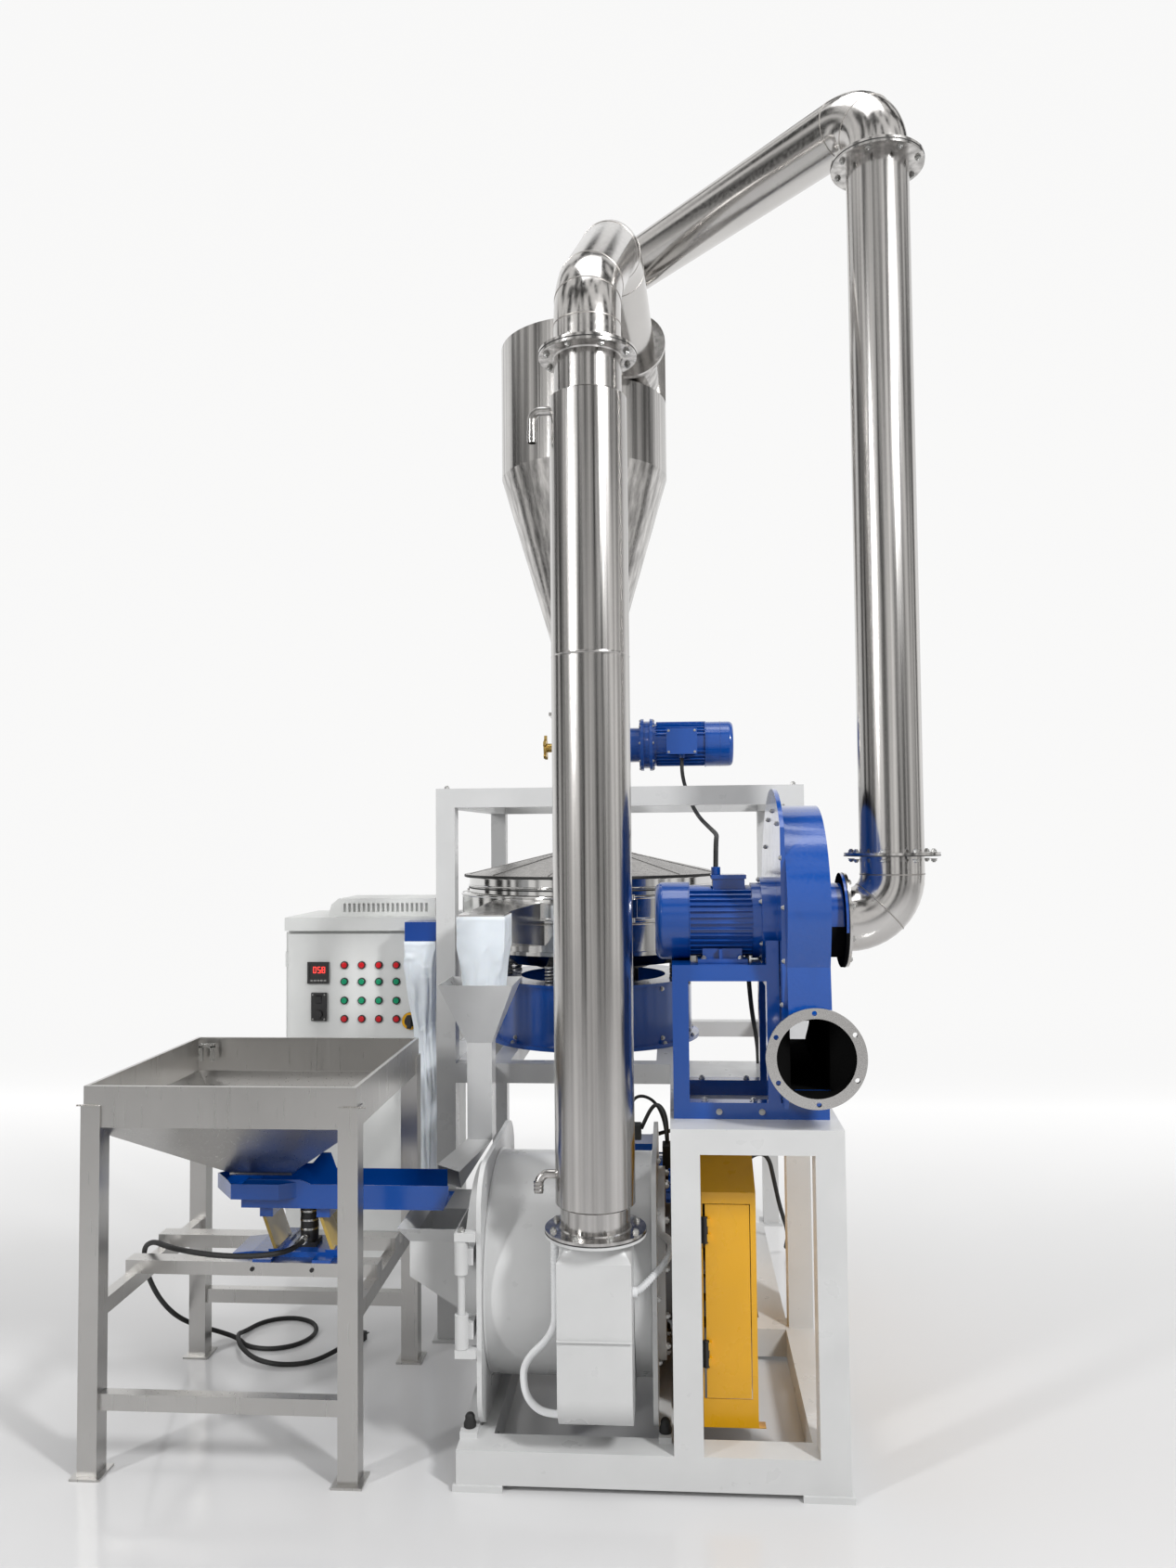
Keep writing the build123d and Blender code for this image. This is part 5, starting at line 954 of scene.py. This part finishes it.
def curved(points, steps=10):
    """Stations along a smooth line through the middle of each run."""
    points = [Vector(point) for point in points]
    kept = [points[0]]
    for first, corner, last in zip(points, points[1:], points[2:]):
        start, end = (first + corner) / 2, (corner + last) / 2
        for step in range(steps + 1):
            share = step / steps
            place = start * (1 - share) ** 2 + corner * 2 * share * (1 - share) + end * share ** 2
            if (place - kept[-1]).length > 0.001:
                kept.append(place)
    kept.append(points[-1])
    ways = [(after - before).normalized() for before, after in zip([kept[0]] + kept, kept[1:] + [kept[-1]])]
    return list(zip(kept, ways))


def ribbed(bm, points, low, high, pitch):
    path = curved(points, 14)
    run, last = 0.0, path[0][0]
    for place, way in path[1:]:
        run += (place - last).length
        last = place
        if run >= pitch:
            run = 0.0
            disc_ring(bm, place - way * pitch * 0.25, way, high, low * 0.9, pitch * 0.5, 20)
    swept(bm, path, low, 20)


def build_right_hose(bm):
    ribbed(bm, [(0.290, -0.906, 0.462), (0.306, -0.906, 0.468), (0.336, -0.892, 0.492), (0.370, -0.868, 0.522),
                (0.386, -0.826, 0.544), (0.372, -0.786, 0.552), (0.352, -0.770, 0.552)], 0.0078, 0.0094, 0.0042)
    cylinder(bm, (0.289, -0.906, 0.462), to_right, 0.0125, 0.012, 24)


make("right_hose", hose_white, "frame", build_right_hose)


# Black cables of the three motors and of the mill's two glands, each as its route and half thickness
cables = [
    ([(0.436, 0.332, 1.834), (0.436, 0.330, 1.770), (0.455, 0.200, 1.690), (0.480, -0.050, 1.620),
      (0.515, -0.300, 1.575), (0.520, -0.560, 1.560), (0.512, -0.690, 1.545), (0.510, -0.700, 1.474)], 0.0065),
    ([(0.575, -0.640, 1.420), (0.600, -0.560, 1.400), (0.600, -0.480, 1.260), (0.612, -0.440, 1.080),
      (0.640, -0.300, 0.950), (0.655, -0.110, 0.860), (0.662, -0.060, 0.720), (0.650, 0.020, 0.600),
      (0.560, 0.200, 0.560), (0.400, 0.250, 0.560), (0.300, 0.240, 0.530), (0.254, 0.186, 0.528)], 0.0065),
    ([(0.300, -0.420, 0.728), (0.330, -0.420, 0.790), (0.352, -0.430, 0.800), (0.372, -0.450, 0.770),
      (0.374, -0.465, 0.700)], 0.0055),
    ([(0.275, -0.410, 0.742), (0.270, -0.400, 0.800), (0.300, -0.380, 0.815), (0.345, -0.370, 0.790),
      (0.372, -0.380, 0.720), (0.372, -0.400, 0.600), (0.369, -0.420, 0.560)], 0.0045),
    ([(0.590, 0.400, 0.300), (0.640, 0.402, 0.410), (0.690, 0.405, 0.440), (0.725, 0.412, 0.420),
      (0.742, 0.425, 0.340), (0.765, 0.460, 0.230), (0.800, 0.520, 0.120), (0.800, 0.640, 0.030)], 0.0075),
]


def build_cables(bm):
    for points, half in cables:
        swept(bm, curved(points), half, 16)


make("motor_cables", rubber, "frame", build_cables)


# Guard hinges in black, in line with the pins
hinge_high = 0.064


def build_guard_hinges(bm):
    for low in (0.243, 0.545):
        cylinder(bm, (0.466, -0.802, low), up, 0.0078, hinge_high, 24)
        brick(bm, (0.4565, -0.8060, low), (0.4625, -0.7990, low + hinge_high))


make("guard_hinges", black_plastic, "frame", build_guard_hinges, bevel=0.0008)


# Cabinet door: display digits, keys, ring of the main switch and lock
digit_x, digit_z, digit_pitch = -0.944, 1.058, 0.0165
digit_bars = {"a": ((0, 0.020), (0.010, 0.0225)), "g": ((0, 0.0095), (0.010, 0.012)),
              "d": ((0, -0.001), (0.010, 0.0015)), "f": ((-0.001, 0.011), (0.0015, 0.0215)),
              "b": ((0.0085, 0.011), (0.011, 0.0215)), "e": ((-0.001, 0.0), (0.0015, 0.0105)),
              "c": ((0.0085, 0.0), (0.011, 0.0105))}
key_x, key_pitch, key_wide = -0.955, 0.0125, 0.0095


def build_digits(bm):
    for place, bars in enumerate(("abcdef", "afgcd", "abcdefg")):
        x = digit_x + place * digit_pitch
        for bar in bars:
            low, high = digit_bars[bar]
            brick(bm, (x + low[0], 0.4955, digit_z + low[1]), (x + high[0], 0.4968, digit_z + high[1]))


make("display_digits", red_glow, "cabinet_door", build_digits)


def build_keys(bm):
    for index in range(5):
        x = key_x + index * key_pitch
        brick(bm, (x, 0.4935, 1.0265), (x + key_wide, 0.4952, 1.0325))
    for z in (0.977, 0.887):
        for x in (-0.945, -0.901):
            cylinder(bm, (x, 0.4928, z), to_front, 0.003, 0.0012, 16)


make("panel_keys", turned_steel, "cabinet_door", build_keys)


def build_switch_plate(bm):
    disc_ring(bm, Vector((-0.578, 0.4992, 0.880)), to_front, 0.0315, 0.0215, 0.0012, 48)


make("switch_plate", yellow_paint, "cabinet_door", build_switch_plate)


def build_door_lock(bm):
    cylinder(bm, (-0.478, 0.5045, 0.640), to_front, 0.014, 0.006, 32)
    brick(bm, (-0.4805, 0.4965, 0.634), (-0.4755, 0.4985, 0.646))


make("door_lock", turned_steel, "cabinet_door", build_door_lock, bevel=0.0006)


# Feeder: the clip in the hopper, the fastenings under the tray, the cord's gland and the coil's rings
def build_feeder_bits(bm):
    brick(bm, (-1.052, -0.2855, 0.9245), (-1.004, -0.2725, 0.9365))
    brick(bm, (-1.0165, -0.2855, 0.884), (-1.004, -0.2725, 0.9300))
    brick(bm, (-1.052, -0.2855, 0.884), (-1.040, -0.2725, 0.9300))
    for x in (-0.686, -0.531):
        for y in (-0.650, -0.566):
            bolt(bm, (x + 0.010, y, 0.4655), up, 0.006)
            cylinder(bm, (x - 0.014, y, 0.548), to_left, 0.0062, 0.006, 6)
    cylinder(bm, (-0.600, -0.648, 0.485), to_front, 0.0115, 0.014, 6)
    cylinder(bm, (-0.600, -0.6625, 0.485), to_front, 0.0098, 0.008, 24)
    for z in (0.500, 0.524, 0.548):
        disc_ring(bm, Vector((-0.600, -0.608, z)), up, 0.0255, 0.018, 0.006, 40)


make("feeder_bits", turned_steel, "frame", build_feeder_bits, bevel=0.0008)


# Weld beads on the front posts
weld_beads = 9


def build_welds(bm):
    for x0, x1 in ((-1.088, -1.038), (-0.412, -0.362)):
        for index in range(weld_beads):
            x = x0 + (x1 - x0) * index / (weld_beads - 1)
            cylinder(bm, (x, -0.934, 0.9022), to_right, 0.0022, 0.004, 10)


make("feeder_welds", seam_metal, "frame", build_welds)


def build_beam_bolts(bm):
    for x in (-0.720, -0.560):
        cylinder(bm, (x, -0.7150, 0.4275), to_front, 0.0055, 0.0035, 12)


make("beam_bolts", black_paint, "frame", build_beam_bolts)


# Camera
ahead = Vector((-sin(camera_yaw) * cos(camera_pitch), cos(camera_yaw) * cos(camera_pitch), sin(camera_pitch)))
level = Vector((cos(camera_yaw), sin(camera_yaw), 0.0))
over = level.cross(ahead)
right = level * cos(camera_roll) + over * sin(camera_roll)
upward = over * cos(camera_roll) - level * sin(camera_roll)
camera_data = bpy.data.cameras.new("camera")
camera_data.sensor_fit = "HORIZONTAL"
camera_data.sensor_width = 36.0
camera_data.lens = 34.83
camera_data.clip_end = 60.0
camera = in_scene("camera", camera_data)
camera.matrix_world = Matrix.Translation(camera_at) @ Matrix((right, upward, -ahead)).transposed().to_4x4()
bpy.context.scene.camera = camera

# Studio floor running up into a back wall that is clear when seen from behind
room_half, room_front = 11.0, 9.0
wall_y, wall_top, wall_bend = 5.2, 9.0, 2.2


def build_studio(bm):
    line = [(-room_front, 0.0), (wall_y - wall_bend, 0.0)]
    line += [(wall_y - wall_bend + wall_bend * sin(radians(a)), wall_bend - wall_bend * cos(radians(a)))
             for a in range(9, 90, 9)]
    line += [(wall_y, wall_bend), (wall_y, wall_top)]
    verts = [bm.verts.new((-room_half, y, z)) for y, z in line]
    edges = [bm.edges.new(pair) for pair in zip(verts, verts[1:])]
    spread = bmesh.ops.extrude_edge_only(bm, edges=edges)
    bmesh.ops.translate(bm, vec=(2 * room_half, 0, 0),
                        verts=[v for v in spread["geom"] if isinstance(v, bmesh.types.BMVert)])


studio = in_scene("studio", mesh_from("studio", build_studio))
floor_material = bpy.data.materials.new("pale_floor")
floor_tree, floor_shader = tree_of(floor_material)
rise = remap(floor_tree, place_along(floor_tree, "Y"), (-1.2, 4.4), interpolation_type="SMOOTHSTEP")
feed(floor_tree, floor_shader, {
    "Base Color": mixed(floor_tree, rise, (0.60, 0.60, 0.605, 1.0), (0.02, 0.02, 0.02, 1.0)), "Roughness": 0.14,
    "Specular IOR Level": remap(floor_tree, rise, (0.0, 1.0), (0.45, 0.0)),
    "Emission Color": (1.0, 0.998, 0.995, 1.0), "Emission Strength": math(floor_tree, "MULTIPLY", rise, 0.93)})
behind = floor_tree.nodes.new("ShaderNodeNewGeometry").outputs["Backfacing"]
clear = floor_tree.nodes.new("ShaderNodeBsdfTransparent").outputs["BSDF"]
two_sided = add(floor_tree, "ShaderNodeMixShader", {"Fac": behind, 1: floor_shader.outputs["BSDF"], 2: clear})
feed(floor_tree, floor_tree.nodes["Material Output"], {"Surface": two_sided.outputs["Shader"]})
studio.data.materials.append(floor_material)


def area_light(name, place, aim, wide, high, power):
    data = bpy.data.lights.new(name, "AREA")
    data.shape = "RECTANGLE"
    data.size = wide
    data.size_y = high
    data.energy = power
    way = Vector(aim) - Vector(place)
    in_scene(name, data).matrix_world = (Matrix.Translation(place)
                                         @ way.to_track_quat("-Z", "Y").to_matrix().to_4x4())


area_light("right_softbox", (3.6, -4.2, 4.6), (0.2, 0.0, 1.0), 0.5, 1.1, 260)
area_light("left_softbox", (-3.8, -4.4, 3.6), (0.0, 0.0, 1.2), 0.4, 2.2, 125)
area_light("top_softbox", (0.4, -0.8, 6.4), (0.1, 0.0, 0.0), 2.6, 2.6, 70)

# Room seen in the steel: dark, with tall pale panels
world = bpy.data.worlds.new("studio_world")
bpy.context.scene.world = world
world.use_nodes = True
room = world.node_tree
view_way = room.nodes.new("ShaderNodeTexCoord").outputs["Generated"]
around = vector_math(room, "MULTIPLY", view_way, (4.2, 4.2, 0.25))
panels = add(room, "ShaderNodeTexNoise", {"Vector": around, "Scale": 1.0, "Detail": 1.5}).outputs["Fac"]
glow = remap(room, panels, (0.44, 0.56), (0.03, 0.85), interpolation_type="SMOOTHSTEP")
feed(room, room.nodes["Background"], {"Color": (1.0, 0.99, 0.975, 1.0), "Strength": glow})
bpy.context.scene.view_settings.view_transform = "Standard"
